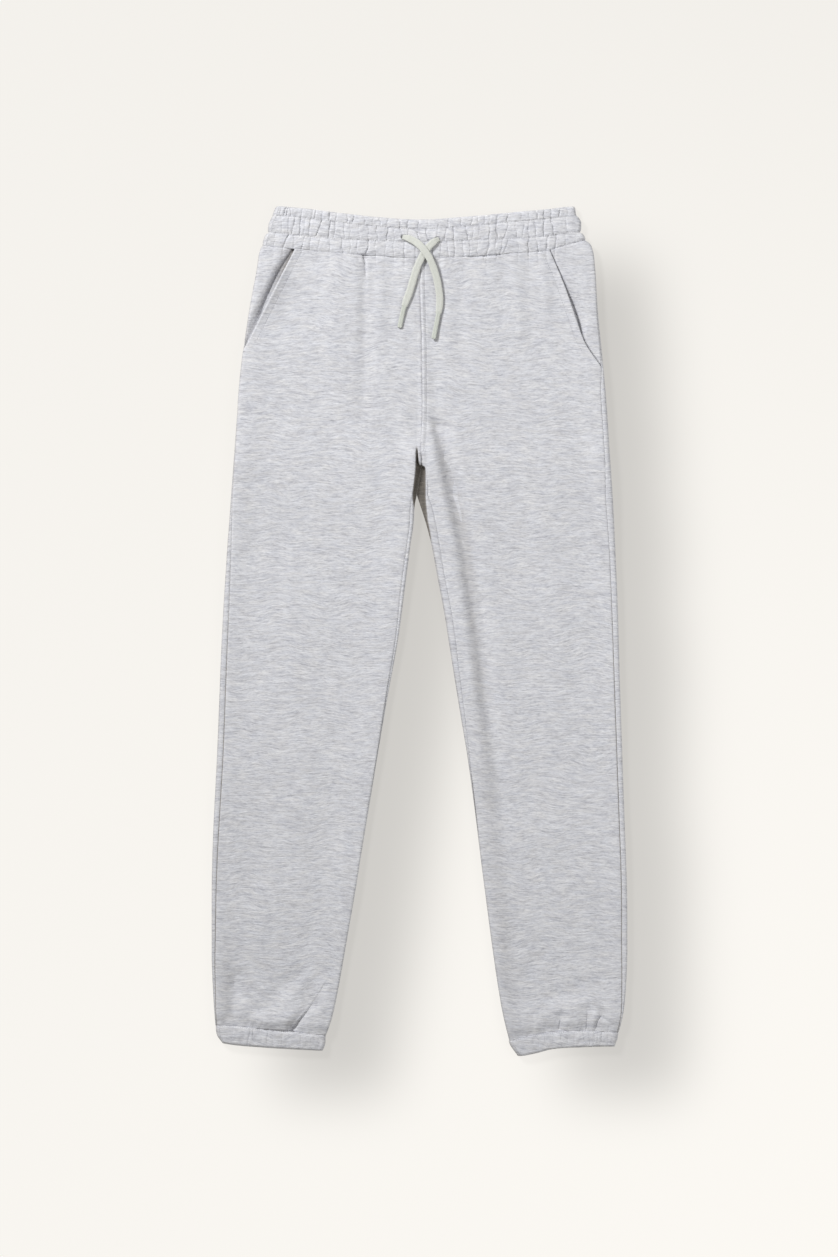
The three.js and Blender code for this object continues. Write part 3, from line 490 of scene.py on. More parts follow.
def jersey():
    """Heather-grey sweatshirt jersey: short wavy flecks across the grain, wales along it."""
    material, tree, bsdf = shader("heather_jersey", (0.6, 0.602, 0.622), 0.93, 0.12)
    drift = [(14, 0.018), (80, 0.0015)]
    streaks, flecks, cloud, hue = (
        noise(tree, grain(tree, scale, drift), detail, rough, seed) for scale, detail, rough, seed in (
            ((78, 640), 3.0, 0.72, 1.3), ((210, 1000), 2.0, 0.6, 4.1),
            ((34, 190), 2.0, 0.55, 7.7), ((60, 240), 2.0, 0.6, 5.2),
        )
    )
    colour = ramp(tree, streaks, [
        (0.27, (0.415, 0.416, 0.454)), (0.41, (0.565, 0.566, 0.6)), (0.53, (0.668, 0.669, 0.699)),
        (0.72, (0.785, 0.785, 0.81)),
    ])
    # Painted shade: the depth attribute darkens and browns the colour in the hollow between the legs, along the
    # long folds, at the pocket mouth on the wearer's right, along the outseams and on sides that face the
    # wearer's right
    for value, stops in (
        (flecks, [(0.3, (0.8, 0.8, 0.815)), (0.5, (1, 1, 1)), (0.76, (1.1, 1.1, 1.09))]),
        (cloud, [(0.32, (0.955, 0.955, 0.96)), (0.5, (1, 1, 1)), (0.68, (1.03, 1.03, 1.028))]),
        (hue, [(0.35, (1.008, 1.0, 0.982)), (0.5, (1, 1, 1)), (0.68, (0.985, 0.994, 1.012))]),
        (attribute(tree, "depth"), [
            (0.0, (1, 1, 1)), (0.6, (0.43, 0.395, 0.345)), (1.0, (0.29, 0.265, 0.225)),
        ]),
    ):
        colour = multiply(tree, colour, ramp(tree, value, stops))
    tree.links.new(colour, bsdf.inputs["Base Color"])
    wales = wave(tree, grain(tree, (210, 120)), "X", 1.2)
    knit = maths(tree, "ADD", maths(tree, "MULTIPLY", wales, 0.25), flecks)
    slub = bump(tree, streaks, 0.6, 0.0012)
    tree.links.new(bump(tree, knit, 0.4, 0.0004, Normal=slub), bsdf.inputs["Normal"])
    return material


def braid(name, colour, across, along):
    material, tree, bsdf = shader(name, colour, 0.82, 0.1)
    ribs = wave(tree, grain(tree, (across, along)), "DIAGONAL", 0.6)
    flecks = noise(tree, grain(tree, (1400, 500)), 2.0, 0.6, 2.2)
    tint = ramp(tree, flecks, [
        (at, tuple(min(1, c * level) for c in colour)) for at, level in ((0.3, 0.9), (0.7, 1.06))
    ])
    tree.links.new(tint, bsdf.inputs["Base Color"])
    both = maths(tree, "ADD", ribs, maths(tree, "MULTIPLY", flecks, 0.5))
    tree.links.new(bump(tree, both, 0.5, 0.0004), bsdf.inputs["Normal"])
    return material


JERSEY = jersey()
BRAID = braid("flat_braid", (0.662, 0.672, 0.624), 420, 300)
SEALED = braid("sealed_braid", (0.6, 0.62, 0.565), 300, 120)
THREAD = braid("sewing_thread", (0.5, 0.505, 0.535), 900, 900)


# Mesh tools

def make(name, points, faces, material, uvs, shade=None):
    mesh = bpy.data.meshes.new(name)
    mesh.from_pydata((points * MM).tolist(), [], faces)
    index = np.empty(len(mesh.loops), int)
    mesh.loops.foreach_get("vertex_index", index)
    mesh.uv_layers.new(name="grain").data.foreach_set("uv", (uvs * MM)[index].ravel())
    mesh.polygons.foreach_set("use_smooth", [True] * len(mesh.polygons))
    # Painted shade goes into the depth attribute, which darkens the jersey's colour
    if shade is not None:
        depth = np.append(shade, np.zeros(len(points) - shade.size))
        mesh.attributes.new("depth", "FLOAT", "POINT").data.foreach_set("value", depth)
    mesh.materials.append(material)
    mesh.update()
    piece = bpy.data.objects.new(name, mesh)
    bpy.context.scene.collection.objects.link(piece)
    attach(piece, "root")
    return piece


def quads(ids):
    return np.stack([ids[:-1, :-1], ids[1:, :-1], ids[1:, 1:], ids[:-1, 1:]], -1).reshape(-1, 4)


def around(ids):
    """The four-cornered faces of a tube whose rings of point numbers are given."""
    return quads(closed(ids))[:, [0, 3, 2, 1]].tolist()


def closed(ids):
    """Rings of point numbers with the first point of each ring again at its end."""
    return np.concatenate([ids, ids[:, :1]], axis=1)


def shell(outside, inside, uv, flip, loop=False):
    """Points, faces and cloth coordinates of a closed wall; its inner side has fewer rows and columns."""
    rows, columns = outside.shape[:2]
    every = 2 if loop else 4
    keep_r = np.unique(np.append(np.arange(0, rows, every), rows - 1))
    keep_c = np.arange(0, columns, every)
    if not loop:
        keep_c = np.unique(np.append(keep_c, columns - 1))
    fine = np.arange(rows * columns).reshape(rows, columns)
    coarse = fine.size + np.arange(len(keep_r) * len(keep_c)).reshape(len(keep_r), len(keep_c))
    pick = np.ix_(keep_r, keep_c)
    points = np.concatenate([outside.reshape(-1, 3), inside[pick].reshape(-1, 3)])
    uvs = np.concatenate([uv.reshape(-1, 2), uv[pick].reshape(-1, 2)])
    if loop:
        fine, coarse, keep_c = closed(fine), closed(coarse), np.append(keep_c, columns)
    faces = quads(fine).tolist() + quads(coarse)[:, ::-1].tolist()
    rims = [(fine[0], keep_c, coarse[0], 1), (fine[-1], keep_c, coarse[-1], -1)]
    if not loop:
        rims += [(fine[:, 0], keep_r, coarse[:, 0], -1), (fine[:, -1], keep_r, coarse[:, -1], 1)]
    for outer, places, inner, turn in rims:
        for a, b, ia, ib in zip(places[:-1], places[1:], inner[:-1], inner[1:]):
            faces.append([*outer[a : b + 1].tolist(), int(ib), int(ia)][::turn])
    return points, [face[::-1] for face in faces] if flip else faces, uvs


def sewn(name, outside, away, lines, pitch, long, wide):
    """Small raised stitches along lines given in rows and columns of a cloth's grid."""
    rows, columns = outside.shape[:2]

    def at(grid, line):
        r, c = np.clip(line[:, 0], 0, rows - 1.001), np.clip(line[:, 1], 0, columns - 1.001)
        i, j = r.astype(int), c.astype(int)
        u, v = (r - i)[:, None], (c - j)[:, None]
        return mix(mix(grid[i, j], grid[i + 1, j], u), mix(grid[i, j + 1], grid[i + 1, j + 1], u), v)

    points, faces = [], []
    sides = 5
    a = np.linspace(0, 2 * math.pi, sides, endpoint=False)[None, :, None]
    for line in lines:
        p, n = at(outside, line), at(away, line)
        run = lengths_along(p)
        for k in range(int((run[-1] - long) / pitch)):
            s = k * pitch + np.array([0, 0.3, 0.7, 1]) * long
            spot, up = path_at(s, run, p), unit(path_at(s, run, n))
            if spot[:, 2].min() < LOWEST_STITCH:
                continue
            ahead = spot[-1] - spot[0]
            side = np.cross(ahead / np.linalg.norm(ahead), up)
            spot = spot + up * np.array([-0.18, 0.04, 0.04, -0.18])[:, None]
            size = np.array([0.6, 1, 1, 0.6])[:, None, None] * wide / 2
            ids = 4 * sides * len(points) + np.arange(4 * sides).reshape(4, sides)
            ring = spot[:, None] + (side[:, None] * np.cos(a) + up[:, None] * np.sin(a)) * size
            points.append(ring.reshape(-1, 3))
            faces += [*around(ids), ids[0, ::-1].tolist(), ids[-1].tolist()]
    points = np.concatenate(points)
    return make(name, points, faces, THREAD, points[:, :2])


# Camera

SENSOR, LENS = 36.0, 85.0
PHOTO = {"tall": 1479.0, "x": -0.6, "y": 2.9, "plane": 5}
scene = bpy.context.scene
lens = bpy.data.cameras.new("camera")
lens.lens, lens.sensor_width, lens.clip_end = LENS, SENSOR, 50.0
camera = bpy.data.objects.new("camera", lens)
camera.location = (PHOTO["x"] * MM, PHOTO["y"] * MM, (LENS * PHOTO["tall"] / SENSOR + PHOTO["plane"]) * MM)
scene.collection.objects.link(camera)
scene.camera = camera
scene.view_settings.view_transform = "Standard"


# Drawcord

def smooth_route(rows, steps):
    """Even points on a centripetal curve through the rows of a route, and its length."""
    p = np.array([(r["x"], LENGTH / 2 - r["down"], r["z"]) for r in rows], float)
    p = np.vstack([2 * p[0] - p[1], p, 2 * p[-1] - p[-2]])
    dense = []
    for k in range(1, len(p) - 2):
        knots = [0.0]
        for a, b in zip(p[k - 1 : k + 2], p[k : k + 3]):
            knots.append(knots[-1] + math.sqrt(np.linalg.norm(b - a)))
        for t in np.linspace(knots[1], knots[2], 12, endpoint=k == len(p) - 3):
            level = list(p[k - 1 : k + 3])
            for pairs in (((0, 1), (1, 2), (2, 3)), ((0, 2), (1, 3)), ((1, 2),)):
                level = [
                    (knots[j] - t) / (knots[j] - knots[i]) * a + (t - knots[i]) / (knots[j] - knots[i]) * b
                    for (i, j), a, b in zip(pairs, level, level[1:])
                ]
            dense.append(level[0])
    dense = np.array(dense)
    along = lengths_along(dense)
    return path_at(np.linspace(0, along[-1], steps), along, dense), along[-1]


def ribbon(name, path, widths, thicks, material, sides=28):
    """A flat cord with round edges and a shallow channel down its middle, closed at both ends."""
    tangent = unit(np.gradient(path, axis=0))
    side = unit(np.cross((0, 0, 1), tangent))
    up = np.cross(tangent, side)
    a = np.linspace(0, 2 * math.pi, sides, endpoint=False)
    flat = np.sign(np.cos(a)) * np.abs(np.cos(a)) ** 0.75
    tall = np.sign(np.sin(a)) * np.abs(np.sin(a)) ** 0.7 * (1 - 0.22 * bell(flat, 0.2))
    rings = (
        path[:, None]
        + side[:, None] * (flat[None, :, None] * widths[:, None, None] / 2)
        + up[:, None] * (tall[None, :, None] * thicks[:, None, None] / 2)
    )
    points = np.vstack([rings.reshape(-1, 3), path[:1], path[-1:]])
    ids = np.arange(len(path) * sides).reshape(len(path), sides)
    first, last = closed(ids[[0, -1]]).tolist()
    faces, count = around(ids), len(points)
    for j in range(sides):
        faces += [(count - 2, first[j + 1], first[j]), (count - 1, last[j], last[j + 1])]
    run = lengths_along(path)
    uvs = stacked(flat[None, :] * 4.2, run[:, None]).reshape(-1, 2)
    return make(name, points, faces, material, np.vstack([uvs, [0, 0], [0, run[-1]]]))


CORD_STEPS = 240
for leg in ("right", "left"):
    path, whole = smooth_route(CORD_ROUTES[leg], CORD_STEPS + 1)
    cut = int(CORD_STEPS * CORD["tip_start"])
    body, end = path[: cut + 1], path[cut - 4 :]
    t = np.linspace(0, 1, len(body))
    widths = CORD["width"] * (1 - 0.16 * ease(0.9, 1, t)) * (1 + 0.02 * np.sin(40 * t))
    widths = widths * (0.66 + 0.34 * ease(0, 0.1, t))
    shape = body - np.outer(1.7 * (1 - ease(0, 0.075, t)), (0, 0, 1))
    cord = ribbon(f"cord_{leg}", shape, widths, np.full(len(body), CORD["thick"]), BRAID)
    t = np.linspace(0, 1, len(end))
    widths = CORD["tip_width"] * (1 + 0.12 * ease(0.12, 0, t)) * (1 - 0.25 * ease(0.97, 1, t))
    thicks = CORD["tip_thick"] * (1 - 0.3 * ease(0.96, 1, t))
    tip = ribbon(f"cord_tip_{leg}", end, widths, thicks, SEALED)
    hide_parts(f"drawcord_{leg}")
    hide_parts(f"tip_{leg}")


# Leg panels

def sizes_at(leg, down, to_cuff):
    toward = leg["to_inner"]
    outer = read(leg["outline"], "outer", down)
    split_x = float(read(CENTRE, "x", SPLIT)) - toward * SEAM_GAP / 2
    inside = [
        {"down": CROTCH, "inner": split_x, "inseam": 0},
        {"down": SPLIT, "inner": split_x, "inseam": leg["inside"][0]["inseam"]},
    ] + leg["inside"]
    inner = np.where(
        down <= SPLIT, read(CENTRE, "x", down) - toward * SEAM_GAP / 2, read(inside[1:], "inner", down)
    )
    rise, peak, fade = BLOUSE
    puff = rise * ease(0, peak, to_cuff) * (1 - ease(peak, fade, to_cuff))
    return {
        "outer": outer,
        "width": np.abs(inner - outer),
        "rim": read(HEIGHTS, "rim", down) + puff,
        "middle": read(HEIGHTS, "middle", down) + puff,
        "outseam": read(leg["outline"], "outseam", down),
        "slant": (read(leg["slant"], "x", down) - outer) * toward,
        "inseam": np.where(down <= CROTCH, 0, read(inside, "inseam", down)),
        "front": ease(CROTCH - 46, CROTCH, down) * QUARTER,
        "back": ease(CROTCH - 40, CROTCH, down) * QUARTER,
        "rolled": ease(CROTCH - 50, CROTCH, down),
        "joined": down < CROTCH,
    }


def gape_at(leg, q, across, down, way):
    closing = ease(GAPE["until"], leg["slant_end"] - GAPE["fade"], down)
    opening = ease(GAPE["from"], GAPE["full"], down) * (1 - closing)
    return leg["gape"][way] * opening * bell(across - q["slant"], leg["gape"]["width"])


def stretches(q, panel):
    """Lengths and ends of the stretches of a panel's line round the leg."""
    r, joined, outseam, inseam = q["rim"] / 2, q["joined"], q["outseam"], q["inseam"]

    def start(distance):
        return np.arccos(np.clip(1 - distance / r, 0, 1))

    turn = q["front" if panel == "front" else "back"]
    centre = np.where(joined, q["width"] - r * np.sin(turn), q["width"] - r)
    if panel == "back":
        a0 = start(outseam)
        a1 = np.where(joined, turn - QUARTER, start(inseam))
        tail = np.where(joined, 0, np.maximum(inseam - r, 0))
        parts = [np.maximum(outseam - r, 0), r * (a0 + QUARTER), centre - r, r * (a1 + QUARTER), tail]
        return {"r": r, "a0": a0, "centre": centre, "parts": parts}
    begin = np.maximum(outseam, q["slant"]) if panel == "front" else outseam
    a0 = np.where(begin < r, start(begin), QUARTER)
    flat_from = np.maximum(begin, r)
    if panel == "hip":
        stop, a1 = np.maximum(q["slant"], 0) + UNDERLAP, QUARTER
    else:
        stop = np.where(joined, centre, q["width"] - np.maximum(r, inseam))
        a1 = np.where(joined, QUARTER - turn, np.where(inseam < r, start(inseam), QUARTER))
    parts = [r * (QUARTER - a0), np.maximum(stop - flat_from, 0), r * (QUARTER - a1)]
    return {"r": r, "a0": a0, "centre": centre, "flat_from": flat_from, "parts": parts}


def squared(angle, power):
    """Cosine and sine on a rounded square, a circle where the power is 2."""
    c, s = np.cos(angle), np.sin(angle)
    n = (np.abs(c) ** power + np.abs(s) ** power) ** (1 / power)
    return c / n, s / n


def point_at(leg, q, line, panel, s, down):
    r, a0, centre, parts = line["r"], line["a0"], line["centre"], line["parts"]
    inner_power = 2 + 1.3 * q["rolled"]
    ends = np.cumsum(parts, axis=0)
    where = [s < end for end in ends[:-1]]
    if panel == "back":
        cos_a, sin_a = squared(a0 - (s - ends[0]) / r, OUTER_POWER)
        cos_b, sin_b = squared((s - ends[2]) / r - QUARTER, inner_power)
        stages = [q["outseam"] - s, r * (1 - cos_a), r + (s - ends[1]), centre + r * cos_b]
        across = np.select(where, stages, q["width"] - r - (s - ends[3]))
        up = np.select(where, [1.0, sin_a, -1.0, sin_b], 1.0)
    else:
        cos_a, sin_a = squared(a0 + s / r, OUTER_POWER)
        cos_b, sin_b = squared(QUARTER - (s - ends[1]) / r, inner_power)
        flat, turned = line["flat_from"] + (s - ends[0]), parts[2] > 0
        across = np.select(where, [r * (1 - cos_a), flat], np.where(turned, centre + r * cos_b, flat))
        up = np.select(where, [sin_a, 1.0], np.where(turned, sin_b, 1.0))
    x = q["outer"] + leg["to_inner"] * across

    def sagged(distance):
        return 1 - bell(np.maximum(distance, 0), SAG_REACH)

    from_inner = mix(1, sagged(q["width"] - r - across), q["rolled"])
    edge = ease(0, EDGE_CALM, across) * mix(1, ease(0, EDGE_CALM, q["width"] - across), q["rolled"])
    drop = (q["rim"] - q["middle"]) * sagged(across - r) * from_inner - relief(FOLDS, x, down) * edge
    if panel == "front":
        drop = drop - gape_at(leg, q, across, down, "rise")
    drop = np.minimum(drop, 2 * r - LEAST_STACK)
    return across, up, x, r + np.where(up > 0, (r - drop) * up, r * up)


def seams_of(leg, share):
    top, bottom = np.full_like(share, TOP), np.full_like(share, BOTTOM)
    for _ in range(5):
        x = mix(read(leg["outline"], "outer", top), 0, share)
        low = mix(read(leg["outline"], "outer", bottom), read(leg["inside"], "inner", bottom), share)
        top = read(WAIST_LINES, "seam", x) + SEAM_GAP / 2
        bottom = read(leg["cuff"], "seam", low) - SEAM_GAP / 2
    return top, bottom


def paced(rows, low, high, count):
    """Places from 0 to 1 whose spacing follows the steps of a table."""
    at = np.linspace(low, high, 3000)
    passed = np.append(0, np.cumsum(1 / read(rows, "step", (at[1:] + at[:-1]) / 2)))
    return np.interp(np.linspace(0, passed[-1], count), passed, np.linspace(0, 1, len(at)))


def wavy(x, y, seed, size):
    """A smooth, repeatable unevenness between about -1 and 1."""
    rng = np.random.default_rng(seed)
    total = np.zeros(np.broadcast(x, y).shape)
    for k in range(7):
        angle = rng.uniform(0, math.pi)
        wavelength = rng.uniform(0.6, 1.9) * size
        phase = rng.uniform(0, 2 * math.pi)
        total += np.sin((x * math.cos(angle) + y * math.sin(angle)) * 2 * math.pi / wavelength + phase)
    return total / 3.2


def gather_field(gathers, x, t, sharp):
    """Sharp valleys at the gathers with rounded puffs in between, at a share t of the way down."""
    x, t = np.broadcast_arrays(np.asarray(x, float), np.asarray(t, float))
    valley, puff = np.zeros(x.shape), np.zeros(x.shape)
    bend = (0.7 * np.sin(4.4 * t + 0.31 * x) + 0.35 * np.sin(9 * t + 0.35 * x)) * min(1, sharp * 2)
    for g, following in zip(gathers, gathers[1:] + [None]):
        place = mix(g["x"], g["to_x"], t) + bend
        valley -= g["deep"] * np.exp(-np.abs(x - place) / sharp)
        if following:
            gap = np.maximum(mix(following["x"], following["to_x"], t) - place, 0.5)
            u = np.clip((x - place) / gap, 0, 1)
            low, high = sorted((g["deep"], following["deep"]))
            puff += (low * 0.7 + 0.3 * high) * np.minimum(gap, 16) / 16 * np.sqrt(4 * u * (1 - u))
    return puff, valley


def dressing(leg, panel, q, across, x, down, up, s, total):
    """Fine relief that the solids don't have, in millimetres out of the cloth."""
    on_top = ease(0.2, 0.9, up)
    to_end = total - s

    def dip(distance, deep, wide):
        return -deep * bell(distance, wide)

    out = 1.25 * relief(CREASES, x, down) + 1.5 * tucks(x, down)
    for fold in OVERLAPS:
        out += overlap(fold, x, down)
    out *= on_top
    # The cloth rolls down into each seam
    joined = (1 - ease(CROTCH - 10, CROTCH, down)) * (down < CROTCH)
    out += dip(to_end, mix(0.7, 0.5, joined), 1.1) + dip(s, 0.6, 1.2)
    if panel == "front":
        # The hem of the pocket mouth with its stitching
        mouth = (q["slant"] > q["outseam"] + 0.5) & (down < leg["slant_end"])
        d = np.maximum(across - q["slant"], 0) * 0.9
        lift = read(leg["mouth"], "lift", down) * bell(d, 5)
        out += mouth * (0.35 * bell(d, 2.2) + dip(d - 8.4, 0.22, 0.8) + lift)
        # Seam allowance beside the centre-front seam, stitched down on the wearer's left
        centre_down = ease(60, 70, down) * (1 - ease(CROTCH - 14, CROTCH - 2, down))
        allowance = 0.55 * bell(to_end - 2.4, 1.6) + dip(to_end - CENTRE_STITCH, 0.3, 0.8)
        out += centre_down * leg["allowance"] * allowance
    # Gathers fade out below the waistband
    below = down - read(WAIST_LINES, "seam", x)
    puff, valley = gather_field(GATHERS["third"], x, 1.0, 1.1)
    out += bell(np.maximum(below, 0), 13.0) * (puff * 0.5 + valley * 1.1) * (up > 0)
    # Puckers above the cuff
    above = read(leg["cuff"], "seam", x) - down
    pucker = 0.3 * bell(above, 12.0) * np.sin(x * 0.62 + 1.7 * np.sin(x * 0.13))
    sinks = dip(below, read(WAIST_SINK, "deep", x), 0.9) + dip(above, read(leg["cuff_sink"], "deep", x), 0.9)
    # Slow unevenness of cloth that has been laid down by hand
    slow, quick = leg["seeds"]
    uneven = 0.42 * wavy(x, down * 0.55, slow, 95) + 0.12 * wavy(x * 0.5, down, quick, 26)
    return out + (sinks + pucker + uneven) * on_top


def sunk_into_hollow(x, down, z, spare, wider=0):
    """Heights lowered into the dark hollow between the legs, and the painted shade of each point in it,
    stronger the deeper it lies.
    """
    left, right = read(HOLLOW, "left", down) - wider, read(HOLLOW, "right", down) + wider
    within = ease(left - 0.8, left + 0.8, x) * (1 - ease(right - 0.8, right + 0.8, x))
    begin, full, fading, end = HOLLOW_ENDS
    within = within * ease(begin - wider, full - wider, down) * (1 - ease(fading + wider, end + wider, down))
    drop = within * np.maximum(z - read(HOLLOW, "floor", down) + spare, 0)
    return z - drop, np.maximum(drop / 8, within * 0.9 * ease(1.6, 3, z))


def leg_panel(leg, panel, rows, columns):
    down_share = paced(STEPS, TOP, BOTTOM, rows)[:, None]
    if panel == "hip":
        top, bottom = seams_of(leg, np.zeros(1))
        down_share = np.linspace(0, 1, rows)[:, None] * (leg["slant_end"] + 3 - top[0]) / (bottom[0] - top[0])
    steps = SHARES.get(panel) or SHARES[f"{panel}_{leg['name']}"]
    pick = paced(steps, 0, 1, columns)[None, :]
    share = np.broadcast_to(pick if panel == "back" else 0.5, (rows, columns))
    gap = 0.03
    for _ in range(4):
        top, bottom = seams_of(leg, share)
        down = mix(top, bottom, down_share)
        q = sizes_at(leg, down, bottom - down)
        line = stretches(q, panel)
        total = np.sum(line["parts"], axis=0)
        s = gap + pick * (total - 2 * gap)
        across, up, x, z = point_at(leg, q, line, panel, s, down)
        share = np.clip(across / q["width"], 0, 1)
    before, after = (point_at(leg, q, line, panel, s + step, down) for step in (-0.4, 0.4))
    way = -leg["to_inner"] if panel == "back" else leg["to_inner"]
    nx, nz = -(after[3] - before[3]) * way, (after[2] - before[2]) * way
    size = np.hypot(nx, nz)
    nx, nz = nx / size, nz / size
    depth = np.zeros_like(s)
    on_top = ease(0.2, 0.8, up)
    if panel == "hip":
        sink = read(leg["mouth"], "sink", down)
        wide = np.clip(2 + 3.2 * sink, 2.4, 15) if leg["name"] == "left" else 15
        under = ease(q["slant"] - wide, q["slant"] - np.minimum(wide * 0.15, 1), across)
        depth = (CLOTH + POCKET_STEP) * under + gape_at(leg, q, across, down, "sink")
        sink = sink * bell(across - q["slant"] - 1, read(leg["mouth"], "reach", down))
        depth = depth + np.minimum(sink, np.maximum(z - LEAST_STACK - 0.2 - depth, 0)) * ease(0.5, 1, up)
    extra = dressing(leg, panel, q, across, x, down, up, s, total)
    least = LEAST_STACK - 0.4 if panel == "front" else 0
    extra = np.where((up > 0.95) & (z + extra < least), least - z, extra)
    outside = laid(x + nx * (extra - depth), down, np.maximum(z + nz * (extra - depth), 0))
    wall = CLOTH + depth + np.maximum(-extra - 1, 0)
    inside = laid(x - nx * wall, down, z - nz * wall)
    # The hollow also gives each point its painted shade
    outside[..., 2], shade = sunk_into_hollow(outside[..., 0], down, outside[..., 2], 0)
    inside[..., 2] = np.maximum(sunk_into_hollow(inside[..., 0], down, inside[..., 2], 2.1, 4)[0], 0.3)
    # Painted shade on sides that face the wearer's right, where the softbox lights them most
    shade = shade + PAINTED_RIM_SHADE * np.maximum(-nx, 0) ** 2
    # Painted shade in the mouth of the pocket on the wearer's right, darkest near its top
    if (panel, leg["name"]) == ("hip", "right"):
        shade = shade + 0.55 * bell(across - q["slant"], 4) * (1 - ease(64, 115, down)) * on_top
    # Painted shade along the long fold down the front
    if panel == "front":
        far = outside[..., 0] - read(leg["darkest"], "x", down)
        shade = shade + read(leg["darkest"], "dark", down) * bell(far, 8) * on_top
        # A thin dark line of painted shade along the outseam, where the front panel begins
        shade = shade + 0.8 * bell(s, 0.7) * ease(330, 620, down)
    place = GRAIN[panel] + GRAIN.get(leg["name"], 0)
    flip = (leg["to_inner"] < 0) != (panel == "back")
    walls = shell(outside, inside, np.stack([s + place, down + place * GRAIN["slant"]], -1), flip)
    return outside, walls, np.clip(shade, 0, 1), {
        "away": stacked(nx, 0 * nx, nz), "down": down,
        "from_mouth": across - q["slant"], "to_end": total - s,
    }


def sheet(width, length, area=None):
    if area is not None:
        area = min(area, width * length)


front_stitches = []
for leg in (RIGHT, LEFT):
    for panel, rows, columns in (("front", 500, 170), ("back", 300, 106), ("hip", 200, 80)):
        name = f"{panel}_{leg['name']}"
        outside, (points, faces, uvs), shade, facts = leg_panel(leg, panel, rows, columns)
        piece = make(f"cloth_{name}", points, faces, JERSEY, uvs, shade)
        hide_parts(name)
        edges = np.linalg.norm(np.diff(outside, axis=1), axis=2).sum(axis=1)
        fall = np.linalg.norm(np.diff(outside, axis=0), axis=2).sum(axis=0)
        slopes = (outside[1:, 1:] - outside[:-1, :-1], outside[1:, :-1] - outside[:-1, 1:])
        area = 0.5 * np.linalg.norm(np.cross(*slopes), axis=2).sum() * MM * MM
        sheet(edges.max() * MM, fall.max() * MM, area)
        if panel != "front":
            continue
        # Rows of stitches along the pocket mouth, and beside the centre seam on the wearer's left
        down, lines = facts["down"], []
        at = down[:, 60]
        wanted = [(facts["from_mouth"] - MOUTH_STITCH, (at < leg["slant_end"] - 6) & (at > 52))]
        if leg["name"] == "left":
            at = down[:, -1]
            wanted.append((CENTRE_STITCH - facts["to_end"], (at > 64) & (at < CROTCH - 8)))
        for distance, keep in wanted:
            kept = np.nonzero(keep)[0]
            lines.append(np.array([(i, np.interp(0, distance[i], np.arange(columns))) for i in kept], float))
        front_stitches.append((f"stitches_{name}", outside, facts["away"], lines, 2.9, 2.1, 0.5))


# Waistband and cuffs

def band(name, counts, shape, lines, rows_t, field, seams, stitch):
    """A gathered band as a closed ring of cloth, with the rows of stitches that hold it."""
    front, back, turn_count = counts
    height, left, right = (read(shape, key, rows_t)[:, None] for key in ("height", "left", "right"))
    r = height / 2
    turns = np.linspace(0, math.pi, turn_count + 1)[1:-1]
    f, b = np.linspace(0, 1, front)[None], np.linspace(1, 0, back)[None]
    bulge = r * np.sin(turns)[None]
    x = np.concatenate([
        mix(left + r, right - r, f), right - r + bulge, mix(left + r, right - r, b), left + r - bulge,
    ], axis=1)
    up = np.concatenate([np.ones(front), np.cos(turns), -np.ones(back), -np.cos(turns)])[None]
    turn = np.concatenate([np.zeros(front), np.sin(turns), np.zeros(back), -np.sin(turns)])[None]
    t = np.broadcast_to(rows_t[:, None], x.shape)
    down = np.zeros_like(x)
    line_names = list(lines[0])[1:]
    for k, (upper, lower) in enumerate(zip(line_names, line_names[1:])):
        between = mix(read(lines, upper, x), read(lines, lower, x), t - k)
        down = np.where((t >= k) & (t <= k + 1), between, down)
    swell = field(x, t, up, down)
    side = np.abs(turn)
    z = np.maximum(r + r * up + np.where(up > 0, swell, -swell * 0.6) * (1 - 0.5 * side), 0)
    outside = laid(x + np.sign(turn) * side * swell * 0.5, down, z)
    hollow = np.maximum(0.45, r - BAND_WALL)
    inside = laid(x - np.sign(turn) * (r - hollow) * side, down, r + hollow * up)
    ring = lengths_along(outside[len(rows_t) // 2])
    uv, away = stacked(ring[None] + GRAIN["band"], down), stacked(turn, 0 * x, up)
    points, faces, uvs = shell(outside, inside, uv, False, loop=True)
    # Painted shade on the end of the band that faces the wearer's right and the softbox
    shade = PAINTED_RIM_SHADE * np.maximum(-away[..., 0], 0) ** 2
    piece = make(f"cloth_{name}", points, faces, JERSEY, uvs, shade)
    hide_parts(name)
    around = np.arange(x.shape[1], dtype=float)
    lines = [np.stack([np.full_like(around, row), around], 1) for row in seams]
    sewn(f"stitches_{name}", outside, away, lines, *stitch)
    return piece


